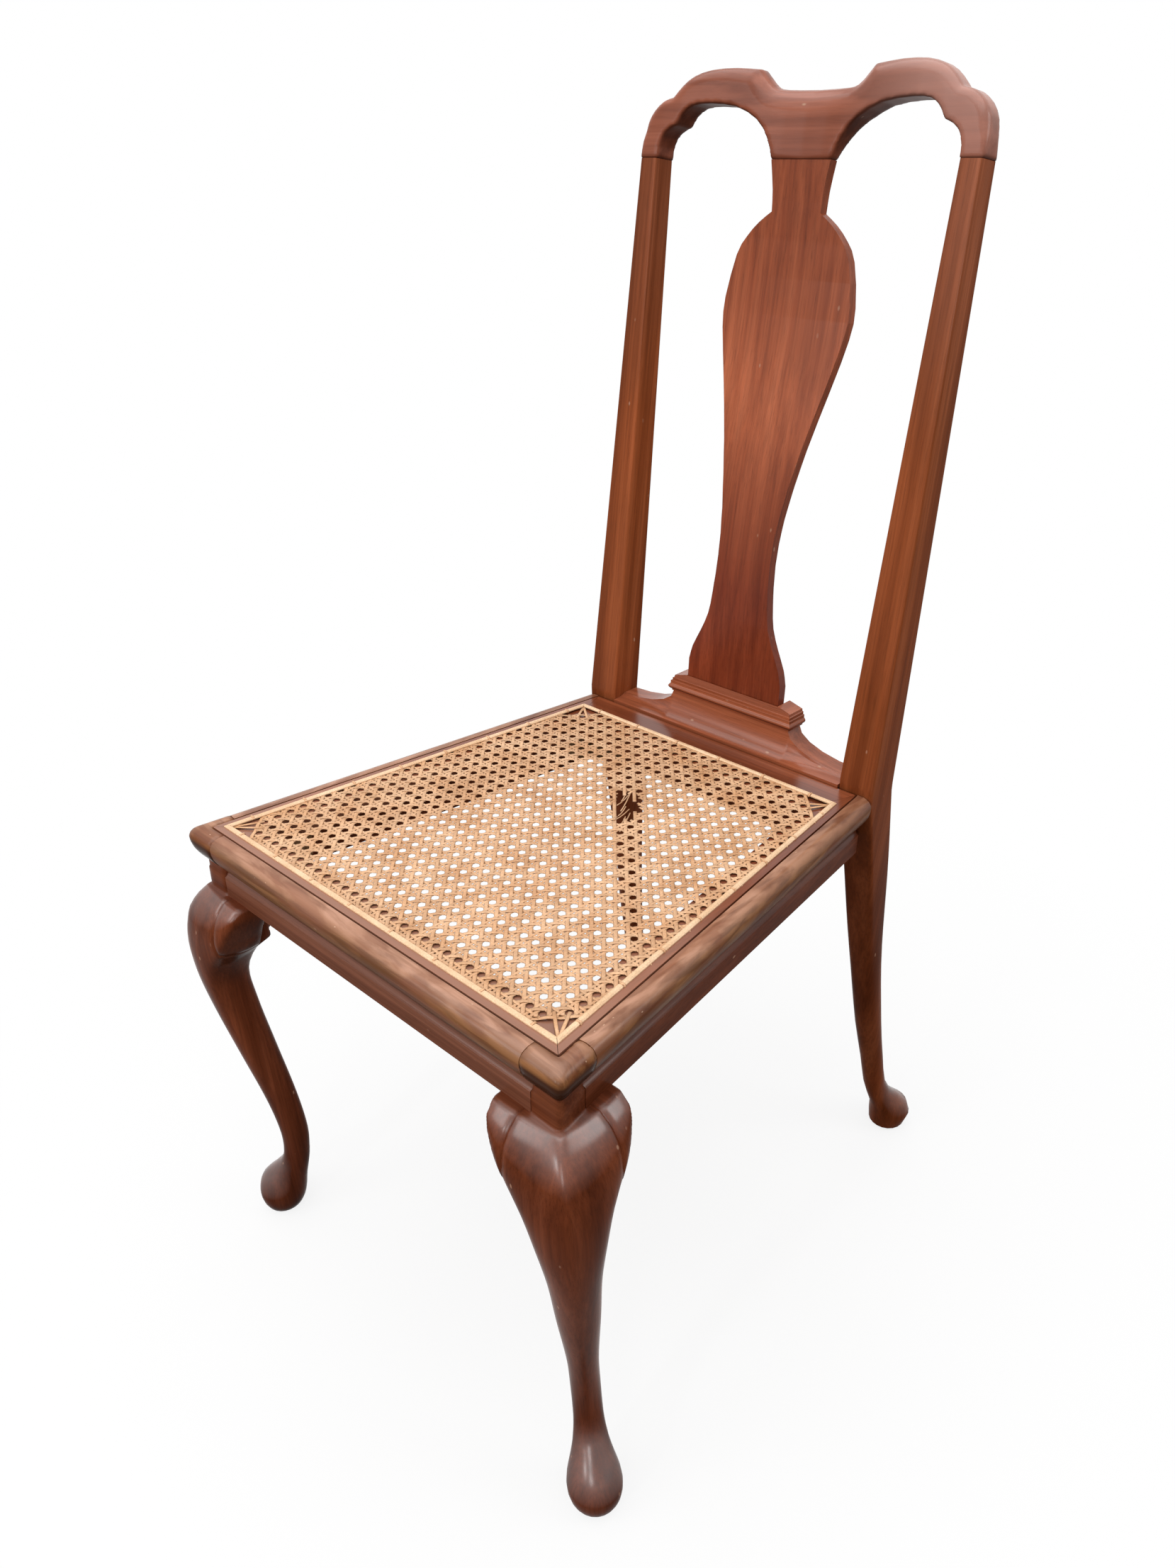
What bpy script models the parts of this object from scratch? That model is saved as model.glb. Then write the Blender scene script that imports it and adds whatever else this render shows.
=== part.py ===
"""A caned Queen Anne dining chair: a jointed mahogany frame and a drop-in seat that lifts out."""

import math

import bmesh
import bpy
from mathutils import Matrix, Vector

# Driving sizes, in metres and radians
SEAT_HEIGHT = 0.451
SEAT_SLOPE = math.radians(3.5)
SEAT_WIDTH_FRONT = 0.400
SEAT_WIDTH_REAR = 0.303
SEAT_DEPTH = 0.409
BACK_LEAN = math.radians(10.0)
BACK_LENGTH = 0.483
CLEARANCE = 0.0003
GROOVE = 0.0006
JOIN = 0.004

# Seat rails: a rounded nosing (drawn as shares of its overhang and depth) over a small ledge and a plain face
NOSING = ((0.41, 0.0), (0.79, 0.09), (1.0, 0.32), (0.88, 0.70), (0.59, 1.0))
RAIL_DEPTH = 0.055
RAIL_OUT = 0.0055
RAIL_IN = 0.016
NOSING_OUT = 0.0145
NOSING_DEPTH = 0.025
NOSING_NECK = 0.002
LEDGE_DROP = 0.0365
LEDGE_COVE = 0.003
STUMP_LENGTH = 0.020
STUMP_SET_IN = 0.001
CORNER_ROUNDING = 0.007
RAIL_TENON = (0.008, 0.007, 0.022)
REAR_TENON = (0.009, 0.010, 0.024)
TENON_FROM_FACE = 0.0105
REAR_RAIL_THICK = 0.024
REAR_RAIL_DROP = 0.002
REAR_LEDGE = 0.016
REAR_LEDGE_INSET = 0.004
BLOCK_REACH = 0.040
BLOCK_HEIGHT = 0.026
BLOCK_FROM_STUMP = 0.0015

# Drop-in seat frame, cane and binder
SEAT_PLAY = 0.001
FRAME_THICK = 0.020
FRAME_WIDTH = 0.027
FRAME_REAR_WIDTH = 0.055
CANE_MARGIN = 0.007
CANE_REAR_MARGIN = 0.0255
CANE_THICK = 0.0013
CANE_COLUMNS = 14
CANE_ROWS = 14
CANE_BORDER = 0.0055
CANE_STRAND = 0.0085
BINDER_WIDTH = 0.0045
BINDER_THICK = 0.0018
BINDER_ROUNDING = 0.0012

# Back posts
POST_WIDTH = 0.0334
POST_DEPTH = 0.0357
POST_TOP_WIDTH = 0.017
POST_TOP_DEPTH = 0.022
POST_INSET = 0.003
POST_SQUARE_FROM = 0.008
POST_SQUARENESS = 14.0
CREST_TENON = (0.008, 0.009, 0.018)

# Crest rail and splat
CREST_THICK = 0.022
CREST_BOW = 0.0095
CREST_SCOOP = 0.016
CREST_ROUNDING = 0.011
CREST_SHOULDER_ROUNDING = 0.006
CREST_BACK_ROUNDING = 0.003
CREST_HEAD = 0.030
CREST_HEAD_STEP = 0.001
CREST_END = 0.012
SPLAT_THICK = 0.009
SPLAT_HALF_JOINT = 0.0276
SPLAT_HALF_FOOT = 0.0520
SPLAT_FOOT_LIFT = 0.0025
SPLAT_SPOON = 0.0055
SPOON_BACK = 0.80
SPOON_HALF_WAVE = 0.42
SPLAT_TENON = (0.036, 0.005, 0.015)
SPLAT_FOOT_TENON = (0.060, 0.005, 0.014)

# Shoe under the splat, with its mitred cap moulding
SHOE_DEPTH = 0.033
SHOE_END_HEIGHT = 0.005
SHOE_HEIGHT = 0.027
SHOE_HALF_TOP = 0.0665
SHOE_FRONT_COVE = 0.0145
SHOE_LIP = 0.0022
CAP_HEIGHT = 0.0155
CAP_RISE = 0.0035
CAP_REACH = 0.0045
CAP_SIDE_LEDGE = 0.014
CAP_FRONT_LEDGE = 0.0008
CAP_PAST_SPLAT = 0.010

# Front leg: share of height, outward edge, inward edge, half width (mm) and roundness,
# along the diagonal from the corner of the rails
FRONT_LEG = (
    (0.000, 20.0, -4.0, 13.0, 2.00),
    (0.010, 26.0, -10.0, 18.3, 2.00),
    (0.040, 29.5, -15.0, 21.7, 2.00),
    (0.069, 28.5, -17.5, 21.2, 2.00),
    (0.099, 24.0, -20.0, 18.0, 2.00),
    (0.128, 12.0, -23.0, 14.4, 2.00),
    (0.153, 2.0, -25.5, 12.6, 2.00),
    (0.185, -3.5, -28.0, 11.6, 2.00),
    (0.257, -5.5, -31.0, 11.4, 2.00),
    (0.370, 0.0, -28.5, 11.8, 2.00),
    (0.536, 13.5, -20.0, 16.0, 1.85),
    (0.667, 24.5, -14.0, 19.0, 1.70),
    (0.765, 30.5, -13.0, 24.4, 1.56),
    (0.835, 32.3, -27.0, 31.0, 1.46),
    (0.877, 31.2, -47.0, 38.5, 1.34),
    (0.909, 28.0, -54.0, 42.8, 1.27),
    (0.943, 23.0, -63.0, 45.8, 1.21),
    (0.978, 12.5, -70.0, 46.4, 1.15),
    (1.000, 3.0, -74.0, 41.0, 1.10),
)
FRONT_LEG_SPLAY = 0.006
FRONT_LEG_RING = 24
FRONT_LEG_STEP = 0.011

# Rear leg below the seat: share of height, shift outward and back, half width, half depth (mm), roundness
REAR_LEG = (
    (0.000, 28.0, 53.0, 13.0, 13.0, 2.0),
    (0.009, 29.0, 54.0, 18.0, 18.0, 2.0),
    (0.037, 30.0, 55.5, 20.5, 20.5, 2.0),
    (0.064, 29.0, 54.0, 19.0, 19.0, 2.0),
    (0.087, 25.0, 48.0, 15.0, 15.0, 2.0),
    (0.108, 21.5, 43.5, 12.3, 12.3, 2.0),
    (0.138, 18.0, 40.0, 11.0, 11.0, 2.0),
    (0.223, 14.7, 35.0, 11.3, 11.3, 2.0),
    (0.338, 10.7, 28.0, 12.5, 12.5, 2.2),
    (0.568, 4.2, 19.5, 13.6, 13.6, 3.5),
    (0.810, 0.7, 11.5, 15.5, 15.6, 9.0),
    (0.985, 0.0, 0.8, 16.6, 17.7, 14.0),
)
REAR_LEG_RING = 20
REAR_LEG_STEP = 0.025

# Half outlines of the crest and splat: across (mm) and height above the crest joint (mm)
CREST_DIP = ((0, 48.5), (28, 49), (39, 51), (47, 57.5), (53, 63))
CREST_ARM = ((53, 63), (75, 64.5), (96, 63.5), (111, 59.5), (121, 53), (129.5, 44.5))
CREST_SHOULDER = ((129.5, 44.5), (139, 42), (148, 35.5), (153.8, 26.5), (156.3, 14))
CREST_INSIDE = ((138.8, 8), (135.8, 16), (129.5, 21.5), (122, 24.5))
CREST_ARCH = (
    (122, 24.5), (117, 32), (108, 38), (92, 39.5), (66, 37), (45, 27.5), (34.5, 16), (29.5, 6), (27.6, 0),
)
CREST_DRAWN_HALF = 0.1565
SPLAT_NECK = ((0, 27.6), (-21, 24), (-37, 23))
SPLAT_BODY = (
    (-37, 23), (-45, 34.5), (-56, 45.5), (-70, 54), (-103, 61), (-127, 60), (-167, 51), (-216, 39.8),
    (-274, 30.2), (-315, 28), (-350, 30.3), (-371, 33.4), (-389, 40.5), (-406, 48.5), (-418, 51.5),
)
SPLAT_DRAWN_FOOT = 0.420
SPLAT_DRAWN_LENGTH = 0.4555

# Ears: the wings of the knee, sawn off beside the leg and glued on under the rails
EAR_START = 0.0325
EAR_DROP = 0.053
EAR_THICK = 0.015
EAR_ROOM = 0.060
EAR_FROM_SHARE = 0.80

# Colours and roughness of the finishes
MAHOGANY = (0.135, 0.040, 0.020)
MAHOGANY_DARK = (0.075, 0.022, 0.012)
MAHOGANY_PALE = (0.200, 0.068, 0.035)
BEECH = (0.250, 0.130, 0.060)
CANE = (0.560, 0.350, 0.150)
BINDER = (0.700, 0.480, 0.230)

SHARP_ANGLE = math.radians(32)

MM = 0.001
UP = Vector((0, 0, 1))

# Sizes that follow from the driving sizes
HALF_FRONT = SEAT_WIDTH_FRONT / 2
HALF_REAR = SEAT_WIDTH_REAR / 2
SIDE_ANGLE = math.atan2(HALF_FRONT - HALF_REAR, SEAT_DEPTH)
SIDE_RUN = Vector((-math.sin(SIDE_ANGLE), math.cos(SIDE_ANGLE), 0))
SIDE_OUT = Vector((math.cos(SIDE_ANGLE), math.sin(SIDE_ANGLE), 0))
MITRE = (1 + math.sin(SIDE_ANGLE)) / math.cos(SIDE_ANGLE)
POST_FRONT = SEAT_DEPTH + GROOVE
POST_X = HALF_REAR - GROOVE - POST_INSET
POST_INNER = POST_X - POST_WIDTH / 2
SEAT_PLANE = Matrix.Translation((0, -SEAT_DEPTH / 2, SEAT_HEIGHT)) @ Matrix.Rotation(-SEAT_SLOPE, 4, "X")
BACK_ORIGIN = SEAT_PLANE @ Vector((0, POST_FRONT, 0))
BACK_PLANE = Matrix.Translation(BACK_ORIGIN) @ Matrix.Rotation(-BACK_LEAN, 4, "X")


def clear_scene():
    for item in list(bpy.data.objects):
        bpy.data.objects.remove(item)
    for name in ("queen_anne_dining_chair", "cutters"):
        group = bpy.data.collections.new(name)
        bpy.context.scene.collection.children.link(group)


def marker(name, parent=None, place=Matrix()):
    """An empty that carries pieces which share one frame."""
    item = bpy.data.objects.new(name, None)
    bpy.data.collections["queen_anne_dining_chair"].objects.link(item)
    item.parent = parent
    item.matrix_local = place
    return item


def skin(shape, mirror=False):
    """A closed mesh from corner points and faces, turned outward, mirrored across X when asked."""
    points, faces = shape
    sign = -1 if mirror else 1
    work = bmesh.new()
    corners = [work.verts.new((sign * p[0], p[1], p[2])) for p in points]
    for face in faces:
        work.faces.new([corners[k] for k in face])
    bmesh.ops.remove_doubles(work, verts=work.verts, dist=1e-7)
    bmesh.ops.recalc_face_normals(work, faces=work.faces)
    return work


def to_mesh(work, name):
    mesh = bpy.data.meshes.new(name)
    work.to_mesh(mesh)
    work.free()
    return mesh


def piece(name, frame, work, colour, roughness):
    """One named sub-part with its own finish."""
    item = bpy.data.objects.new(name, to_mesh(work, name))
    bpy.data.collections["queen_anne_dining_chair"].objects.link(item)
    item.parent = frame
    finish = bpy.data.materials.new(name)
    finish.use_nodes = True
    shader = finish.node_tree.nodes["Principled BSDF"]
    shader.inputs["Base Color"].default_value = (*colour, 1)
    shader.inputs["Roughness"].default_value = roughness
    shader.inputs["Metallic"].default_value = 0.0
    item.data.materials.append(finish)
    item.data.shade_smooth()
    item.data.set_sharp_from_angle(angle=SHARP_ANGLE)
    return item


def helper(name, frame, work):
    """A hidden solid that a Boolean uses."""
    item = bpy.data.objects.new(name, to_mesh(work, name))
    bpy.data.collections["cutters"].objects.link(item)
    item.parent = frame
    item.hide_render = True
    item.display_type = "WIRE"
    return item


def combine(item, operation, other):
    modifier = item.modifiers.new(other.name, "BOOLEAN")
    modifier.operation = operation
    modifier.solver = "EXACT"
    modifier.object = other


def loft(rings):
    """Corner points and faces of a closed skin through rings of equal count."""
    count = len(rings[0])
    points = [p for ring in rings for p in ring]
    faces = [tuple(range(count)), tuple(range(len(points) - count, len(points)))]
    for start in range(0, len(points) - count, count):
        for k in range(count):
            nxt = (k + 1) % count
            faces.append((start + k, start + nxt, start + count + nxt, start + count + k))
    return points, faces


def box(centre, size, mirror=False):
    work = bmesh.new()
    bmesh.ops.create_cube(work, size=1)
    bmesh.ops.scale(work, vec=size, verts=work.verts)
    sign = -1 if mirror else 1
    bmesh.ops.translate(work, vec=(sign * centre[0], centre[1], centre[2]), verts=work.verts)
    return work


def raised(outline, rise, mirror=False):
    """A flat outline of points extruded along a vector, mirrored across X when asked."""
    sign = -1 if mirror else 1
    work = bmesh.new()
    face = work.faces.new([work.verts.new((sign * p[0], p[1], p[2])) for p in outline])
    copied = bmesh.ops.extrude_face_region(work, geom=[face])["geom"]
    moved = [item for item in copied if isinstance(item, bmesh.types.BMVert)]
    bmesh.ops.translate(work, vec=rise, verts=moved)
    bmesh.ops.recalc_face_normals(work, faces=work.faces)
    return work


def slab(plan, low, high, mirror=False):
    """A flat plan of (x, y) points raised from low to high."""
    return raised([(p[0], p[1], low) for p in plan], Vector((0, 0, high - low)), mirror)


def board(outline, thick):
    """An outline of (across, up) points with its front at depth 0."""
    return raised([(x, 0, z) for x, z in outline], Vector((0, thick, 0)))


def grown(size, by=2 * CLEARANCE):
    return tuple(value + by for value in size)


def through(points, steps):
    """A smooth open curve through the points, with this many steps for each span."""
    pts = [Vector(p) for p in points]
    pts = [2 * pts[0] - pts[1], *pts, 2 * pts[-1] - pts[-2]]
    curve = []
    for a, b, c, d in zip(pts, pts[1:], pts[2:], pts[3:]):
        for k in range(steps):
            t = k / steps
            bend = (2 * a - 5 * b + 4 * c - d) * t * t + (3 * b - a - 3 * c + d) * t ** 3
            curve.append(b + 0.5 * ((c - a) * t + bend))
    return curve + [pts[-2]]


def eased(rows, step):
    """Rows filled in smoothly along their first value, no further apart than step."""
    slopes = []
    for k, row in enumerate(rows):
        before = rows[max(k - 1, 0)]
        after = rows[min(k + 1, len(rows) - 1)]
        slopes.append([(q - p) / (after[0] - before[0]) for p, q in zip(before, after)])
    filled = []
    for low, high, from_slope, to_slope in zip(rows, rows[1:], slopes, slopes[1:]):
        span = high[0] - low[0]
        steps = math.ceil(span / step)
        for k in range(steps):
            t = k / steps
            keep = 2 * t ** 3 - 3 * t ** 2 + 1
            leave = t ** 3 - 2 * t ** 2 + t
            reach = t ** 3 - t ** 2
            filled.append(tuple(
                keep * p + leave * span * m + (1 - keep) * q + reach * span * n
                for p, q, m, n in zip(low, high, from_slope, to_slope)
            ))
    return filled + [rows[-1]]


def blend(rows, at):
    """The second value of rows of (position, value), straight between neighbours."""
    for (a, low), (b, high) in zip(rows, rows[1:]):
        if at <= b:
            break
    return low + (high - low) * (at - a) / (b - a)


def oval(count, plus, minus, half, roundness):
    """Ring of (along, across) points: a circle at roundness 2, a diamond at 1, a square when large."""
    centre = (plus + minus) / 2
    reach = (plus - minus) / 2
    ring = []
    for k in range(count):
        c = math.cos(2 * math.pi * k / count)
        s = math.sin(2 * math.pi * k / count)
        along = math.copysign(abs(c) ** (2 / roundness), c) * reach + centre
        ring.append((along, math.copysign(abs(s) ** (2 / roundness), s) * half))
    return ring


def inset(plan, amounts):
    """A convex plan with each edge moved inward by its own amount."""
    count = len(plan)
    area = sum(p[0] * q[1] - q[0] * p[1] for p, q in zip(plan, plan[1:] + plan[:1]))
    turn = math.copysign(1, area)
    lines = []
    for p, q, amount in zip(plan, plan[1:] + plan[:1], amounts):
        length = math.dist(p, q)
        normal = (-turn * (q[1] - p[1]) / length, turn * (q[0] - p[0]) / length)
        lines.append((normal, normal[0] * p[0] + normal[1] * p[1] + amount))
    corners = []
    for k in range(count):
        (ax, ay), a = lines[k - 1]
        (bx, by), b = lines[k]
        bottom = ax * by - ay * bx
        corners.append(((a * by - b * ay) / bottom, (ax * b - bx * a) / bottom))
    return corners


def side_point(out, run):
    """A point beside the right edge of the seat: out from the edge, run back from the front corner."""
    return Vector((HALF_FRONT, 0, 0)) + out * SIDE_OUT + run * SIDE_RUN


def rail_profile(bottom=-RAIL_DEPTH, inner=-RAIL_IN):
    """Section of a seat rail as (outward, height): nosing, ledge, face, inside and rebate."""
    nose = through([(out * NOSING_OUT, -down * NOSING_DEPTH) for out, down in NOSING], 2)
    lower = (
        (NOSING_NECK, -NOSING_DEPTH - LEDGE_COVE / 3), (NOSING_NECK, -LEDGE_DROP + LEDGE_COVE),
        ((NOSING_NECK + RAIL_OUT) / 2, -LEDGE_DROP), (RAIL_OUT, -LEDGE_DROP - LEDGE_COVE / 3),
        (RAIL_OUT, bottom), (inner, bottom), (inner, -FRAME_THICK - CLEARANCE),
        (GROOVE, -FRAME_THICK - CLEARANCE),
    )
    return [(GROOVE, 0), *((p.x, p.y) for p in nose), *lower]


def tenon_height():
    return -(FRAME_THICK + RAIL_DEPTH) / 2


def front_tenon(length):
    """Block at the right end of the front rail, reaching this far into the stump."""
    end = HALF_FRONT - STUMP_LENGTH
    _, thick, height = RAIL_TENON
    centre = (end + (length - JOIN) / 2, TENON_FROM_FACE - RAIL_OUT, tenon_height())
    return centre, (length + JOIN, thick, height)


def side_tenon(length, thick, height, run, reach, mirror):
    """Block along the side rail around a point of its run, reaching to both sides of that point."""
    middle = RAIL_OUT - TENON_FROM_FACE
    corners = []
    for along in (run - reach, run + length):
        for out in (middle - thick / 2, middle + thick / 2):
            corners.append(side_point(out, along))
    plan = [corners[k].to_2d() for k in (0, 1, 3, 2)]
    return slab(plan, tenon_height() - height / 2, tenon_height() + height / 2, mirror)


def rear_run():
    """Run of the side rail from the front corner to the post."""
    return (POST_FRONT - CLEARANCE) / math.cos(SIDE_ANGLE)


def leg_rings():
    """Rings of the right cabriole leg, knee wings and all, each with its share of the height."""
    corner = SEAT_PLANE @ Vector((HALF_FRONT + RAIL_OUT * MITRE, -RAIL_OUT, -RAIL_DEPTH - CLEARANCE))
    outward = Vector((SIDE_OUT.x, SIDE_OUT.y - 1, 0)).normalized()
    across = Vector((-outward.y, outward.x, 0))
    rings = []
    for share, plus, minus, half, roundness in eased(FRONT_LEG, FRONT_LEG_STEP / corner.z):
        level = []
        for along, wide in oval(FRONT_LEG_RING, plus * MM, minus * MM, half * MM, roundness):
            spot = corner + along * outward + (wide + FRONT_LEG_SPLAY * (1 - share)) * across
            fall = share * (corner.y - spot.y) * math.tan(SEAT_SLOPE)
            level.append(Vector((spot.x, spot.y, corner.z * share + fall * share ** 6)))
        rings.append((share, level))
    return rings


def rounded_corner(out, z, t):
    """A point of the rail section where it turns the right front corner, at t from the front to the side."""
    tip = Vector((HALF_FRONT + out * MITRE, -out, z))
    ease = CORNER_ROUNDING * max(out, 0) / NOSING_OUT
    return tip + ease * (t * t * SIDE_RUN - (1 - t) ** 2 * Vector((1, 0, 0)))


def front_leg(side, mirror):
    """Cabriole leg with a pad foot; its stump rises through the rails as the corner of the nosing."""
    rings = [ring for _, ring in leg_rings()]
    item = piece(f"front_leg_{side}", chair, skin(loft(rings), mirror), MAHOGANY_DARK, 0.35)

    inner = -STUMP_LENGTH + STUMP_SET_IN
    face = RAIL_OUT - STUMP_SET_IN
    block = [
        Vector((HALF_FRONT + inner, -face, 0)),
        Vector((HALF_FRONT + face * MITRE, -face, 0)),
        side_point(face, -inner),
        side_point((inner - inner * SIDE_OUT.y) / SIDE_OUT.x, -inner),
    ]
    low = -RAIL_DEPTH - JOIN
    stump = slab([p.to_2d() for p in block], low, -FRAME_THICK - STUMP_SET_IN, mirror)
    combine(item, "UNION", helper(f"stump_{side}", seat_plane, stump))

    profile = rail_profile(low + STUMP_SET_IN, -STUMP_LENGTH / 2)
    ends = [[Vector((HALF_FRONT - STUMP_LENGTH, -out, z)) for out, z in profile]]
    for t in (0, 1 / 3, 2 / 3, 1):
        ends.append([rounded_corner(out, z, t) for out, z in profile])
    ends.append([side_point(out, STUMP_LENGTH) + z * UP for out, z in profile])
    combine(item, "UNION", helper(f"corner_{side}", seat_plane, skin(loft(ends), mirror)))
    for way, place in ear_places().items():
        room = ear_room(*place, -CLEARANCE, EAR_ROOM, mirror)
        combine(item, "DIFFERENCE", helper(f"{way}_ear_seat_{side}", seat_plane, room))

    length, thick, height = RAIL_TENON
    centre, size = front_tenon(length + CLEARANCE)
    hole = box(centre, (size[0], thick + 2 * CLEARANCE, height + 2 * CLEARANCE), mirror)
    combine(item, "DIFFERENCE", helper(f"front_mortise_{side}", seat_plane, hole))
    thick, height = grown((thick, height))
    hole = side_tenon(JOIN, thick, height, STUMP_LENGTH, length + CLEARANCE, mirror)
    combine(item, "DIFFERENCE", helper(f"side_mortise_{side}", seat_plane, hole))


def ear_places():
    """Start, run and outward direction of the two ears at the right front corner."""
    corner = Vector((HALF_FRONT + RAIL_OUT * MITRE, -RAIL_OUT, 0))
    front_run = Vector((-1, 0, 0))
    return {
        "front": (corner + EAR_START * front_run, front_run, Vector((0, -1, 0))),
        "side": (corner + EAR_START * SIDE_RUN, SIDE_RUN, SIDE_OUT),
    }


def ear_room(start, run, out, gap, inward, mirror):
    """Space beside the knee, from a gap past the ear's start, reaching in behind the rail's face."""
    near = [start + gap * run - inward * out, start + gap * run + EAR_ROOM * out]
    far = [p + EAR_ROOM * run for p in reversed(near)]
    return slab([p.to_2d() for p in near + far], -RAIL_DEPTH - EAR_DROP, -RAIL_DEPTH + JOIN / 2, mirror)


def knee_ears(side, mirror):
    """The wings of the knee beside the leg, as two brackets under the rails."""
    rings = [ring for share, ring in leg_rings() if share > EAR_FROM_SHARE]
    for way, place in ear_places().items():
        item = piece(f"{way}_ear_{side}", chair, skin(loft(rings), mirror), MAHOGANY_DARK, 0.35)
        room = ear_room(*place, 0.0, EAR_THICK, mirror)
        combine(item, "INTERSECT", helper(f"{way}_ear_room_{side}", seat_plane, room))


def front_rail():
    end = HALF_FRONT - STUMP_LENGTH - CLEARANCE
    work = raised([(-end, -out, z) for out, z in rail_profile()], Vector((2 * end, 0, 0)))
    item = piece("front_rail", seat_plane, work, MAHOGANY, 0.35)
    for mirror in (False, True):
        tongue = box(*front_tenon(RAIL_TENON[0]), mirror)
        combine(item, "UNION", helper("front_rail_tenon", seat_plane, tongue))


def side_rail(side, mirror):
    front = [side_point(out, STUMP_LENGTH + CLEARANCE) + z * UP for out, z in rail_profile()]
    back = []
    for out, z in rail_profile():
        run = (POST_FRONT - CLEARANCE - out * SIDE_OUT.y) / SIDE_RUN.y
        back.append(side_point(out, run) + z * UP)
    item = piece(f"{side}_rail", seat_plane, skin(loft([front, back]), mirror), MAHOGANY, 0.35)
    length, thick, height = RAIL_TENON
    tongue = side_tenon(JOIN, thick, height, STUMP_LENGTH, length, mirror)
    combine(item, "UNION", helper(f"{side}_rail_front_tenon", seat_plane, tongue))
    tongue = side_tenon(length, thick, height, rear_run(), JOIN, mirror)
    combine(item, "UNION", helper(f"{side}_rail_rear_tenon", seat_plane, tongue))


def rear_rail():
    """Rail between the posts, with a ledge that carries the back of the seat."""
    half = POST_INNER - CLEARANCE
    ledge = POST_FRONT - REAR_LEDGE
    back = POST_FRONT + REAR_RAIL_THICK
    top = -REAR_RAIL_DROP
    under_seat = -FRAME_THICK - CLEARANCE
    section = (
        (POST_FRONT, top), (back, top), (back, -RAIL_DEPTH), (ledge, -RAIL_DEPTH),
        (ledge, under_seat), (POST_FRONT, under_seat),
    )
    ledge_half = half - REAR_LEDGE_INSET
    work = raised([(-ledge_half, y, z) for y, z in section], Vector((2 * ledge_half, 0, 0)))
    item = piece("rear_rail", seat_plane, work, MAHOGANY_DARK, 0.4)
    middle = (POST_FRONT + back) / 2
    body = box((0, middle, (top - RAIL_DEPTH) / 2), (2 * half, back - POST_FRONT, RAIL_DEPTH + top))
    combine(item, "UNION", helper("rear_rail_body", seat_plane, body))
    length, thick, height = REAR_TENON
    tongue = box((0, middle, tenon_height()), (2 * (half + length), thick, height))
    combine(item, "UNION", helper("rear_rail_tenon", seat_plane, tongue))


def back_post(side, mirror):
    """Rear leg and back stile in one piece, bent at the seat, with a tenon up into the crest."""
    rings = []
    knee = BACK_ORIGIN.z
    for share, out, back, wide, deep, roundness in eased(REAR_LEG, REAR_LEG_STEP / knee):
        ring = oval(REAR_LEG_RING, wide * MM, -wide * MM, deep * MM, roundness)
        x = POST_X + out * MM
        y = BACK_ORIGIN.y + POST_DEPTH / 2 + back * MM
        rings.append([Vector((x + a, y + b, share * knee)) for a, b in ring])
    for height, wide, deep in (
        (POST_SQUARE_FROM, POST_WIDTH, POST_DEPTH),
        (BACK_LENGTH - CLEARANCE, POST_TOP_WIDTH, POST_TOP_DEPTH),
    ):
        ring = oval(REAR_LEG_RING, wide / 2, -wide / 2, deep / 2, POST_SQUARENESS)
        rings.append([BACK_PLANE @ Vector((POST_X + a, deep / 2 + b, height)) for a, b in ring])
    item = piece(f"back_post_{side}", chair, skin(loft(rings), mirror), MAHOGANY, 0.35)

    wide, deep, height = CREST_TENON
    centre = (POST_X, POST_TOP_DEPTH / 2, BACK_LENGTH + (height - JOIN) / 2)
    tongue = box(centre, (wide, deep, height + JOIN), mirror)
    combine(item, "UNION", helper(f"post_tenon_{side}", back_plane, tongue))
    length, thick, height = RAIL_TENON
    thick, height = grown((thick, height))
    hole = side_tenon(length + CLEARANCE, thick, height, rear_run(), JOIN, mirror)
    combine(item, "DIFFERENCE", helper(f"post_side_mortise_{side}", seat_plane, hole))
    length, thick, height = REAR_TENON
    centre = (POST_INNER + (length - JOIN) / 2, POST_FRONT + REAR_RAIL_THICK / 2, tenon_height())
    size = (length + JOIN + CLEARANCE, thick + 2 * CLEARANCE, height + 2 * CLEARANCE)
    combine(item, "DIFFERENCE", helper(f"post_rear_mortise_{side}", seat_plane, box(centre, size, mirror)))


def strips(work, axis, places, shift):
    """Cuts a board across one axis at the places and moves it back by shift, straight inside each strip."""
    for place in places[1:-1]:
        normal = Vector((axis == 0, 0, axis == 2))
        geometry = [*work.verts, *work.edges, *work.faces]
        bmesh.ops.bisect_plane(work, geom=geometry, plane_co=normal * place, plane_no=normal, dist=1e-7)
    rows = [(place, shift(place)) for place in places]
    for corner in work.verts:
        corner.co.y += blend(rows, corner.co[axis])


def crest_bow(across):
    """How far the crest sits behind the plane of the posts."""
    share = min(abs(across) / POST_X, 1)
    return CREST_BOW * (1 + math.cos(math.pi * share)) / 2


def splat_spoon(height):
    """How far the front of the splat sits behind the posts: forward at the waist, back at the shoulder."""
    wave = math.cos(math.pi * (height / BACK_LENGTH - SPOON_BACK) / SPOON_HALF_WAVE)
    rest = math.cos(math.pi * (1 - SPOON_BACK) / SPOON_HALF_WAVE)
    return CREST_BOW + SPLAT_SPOON * (wave - rest)


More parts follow.
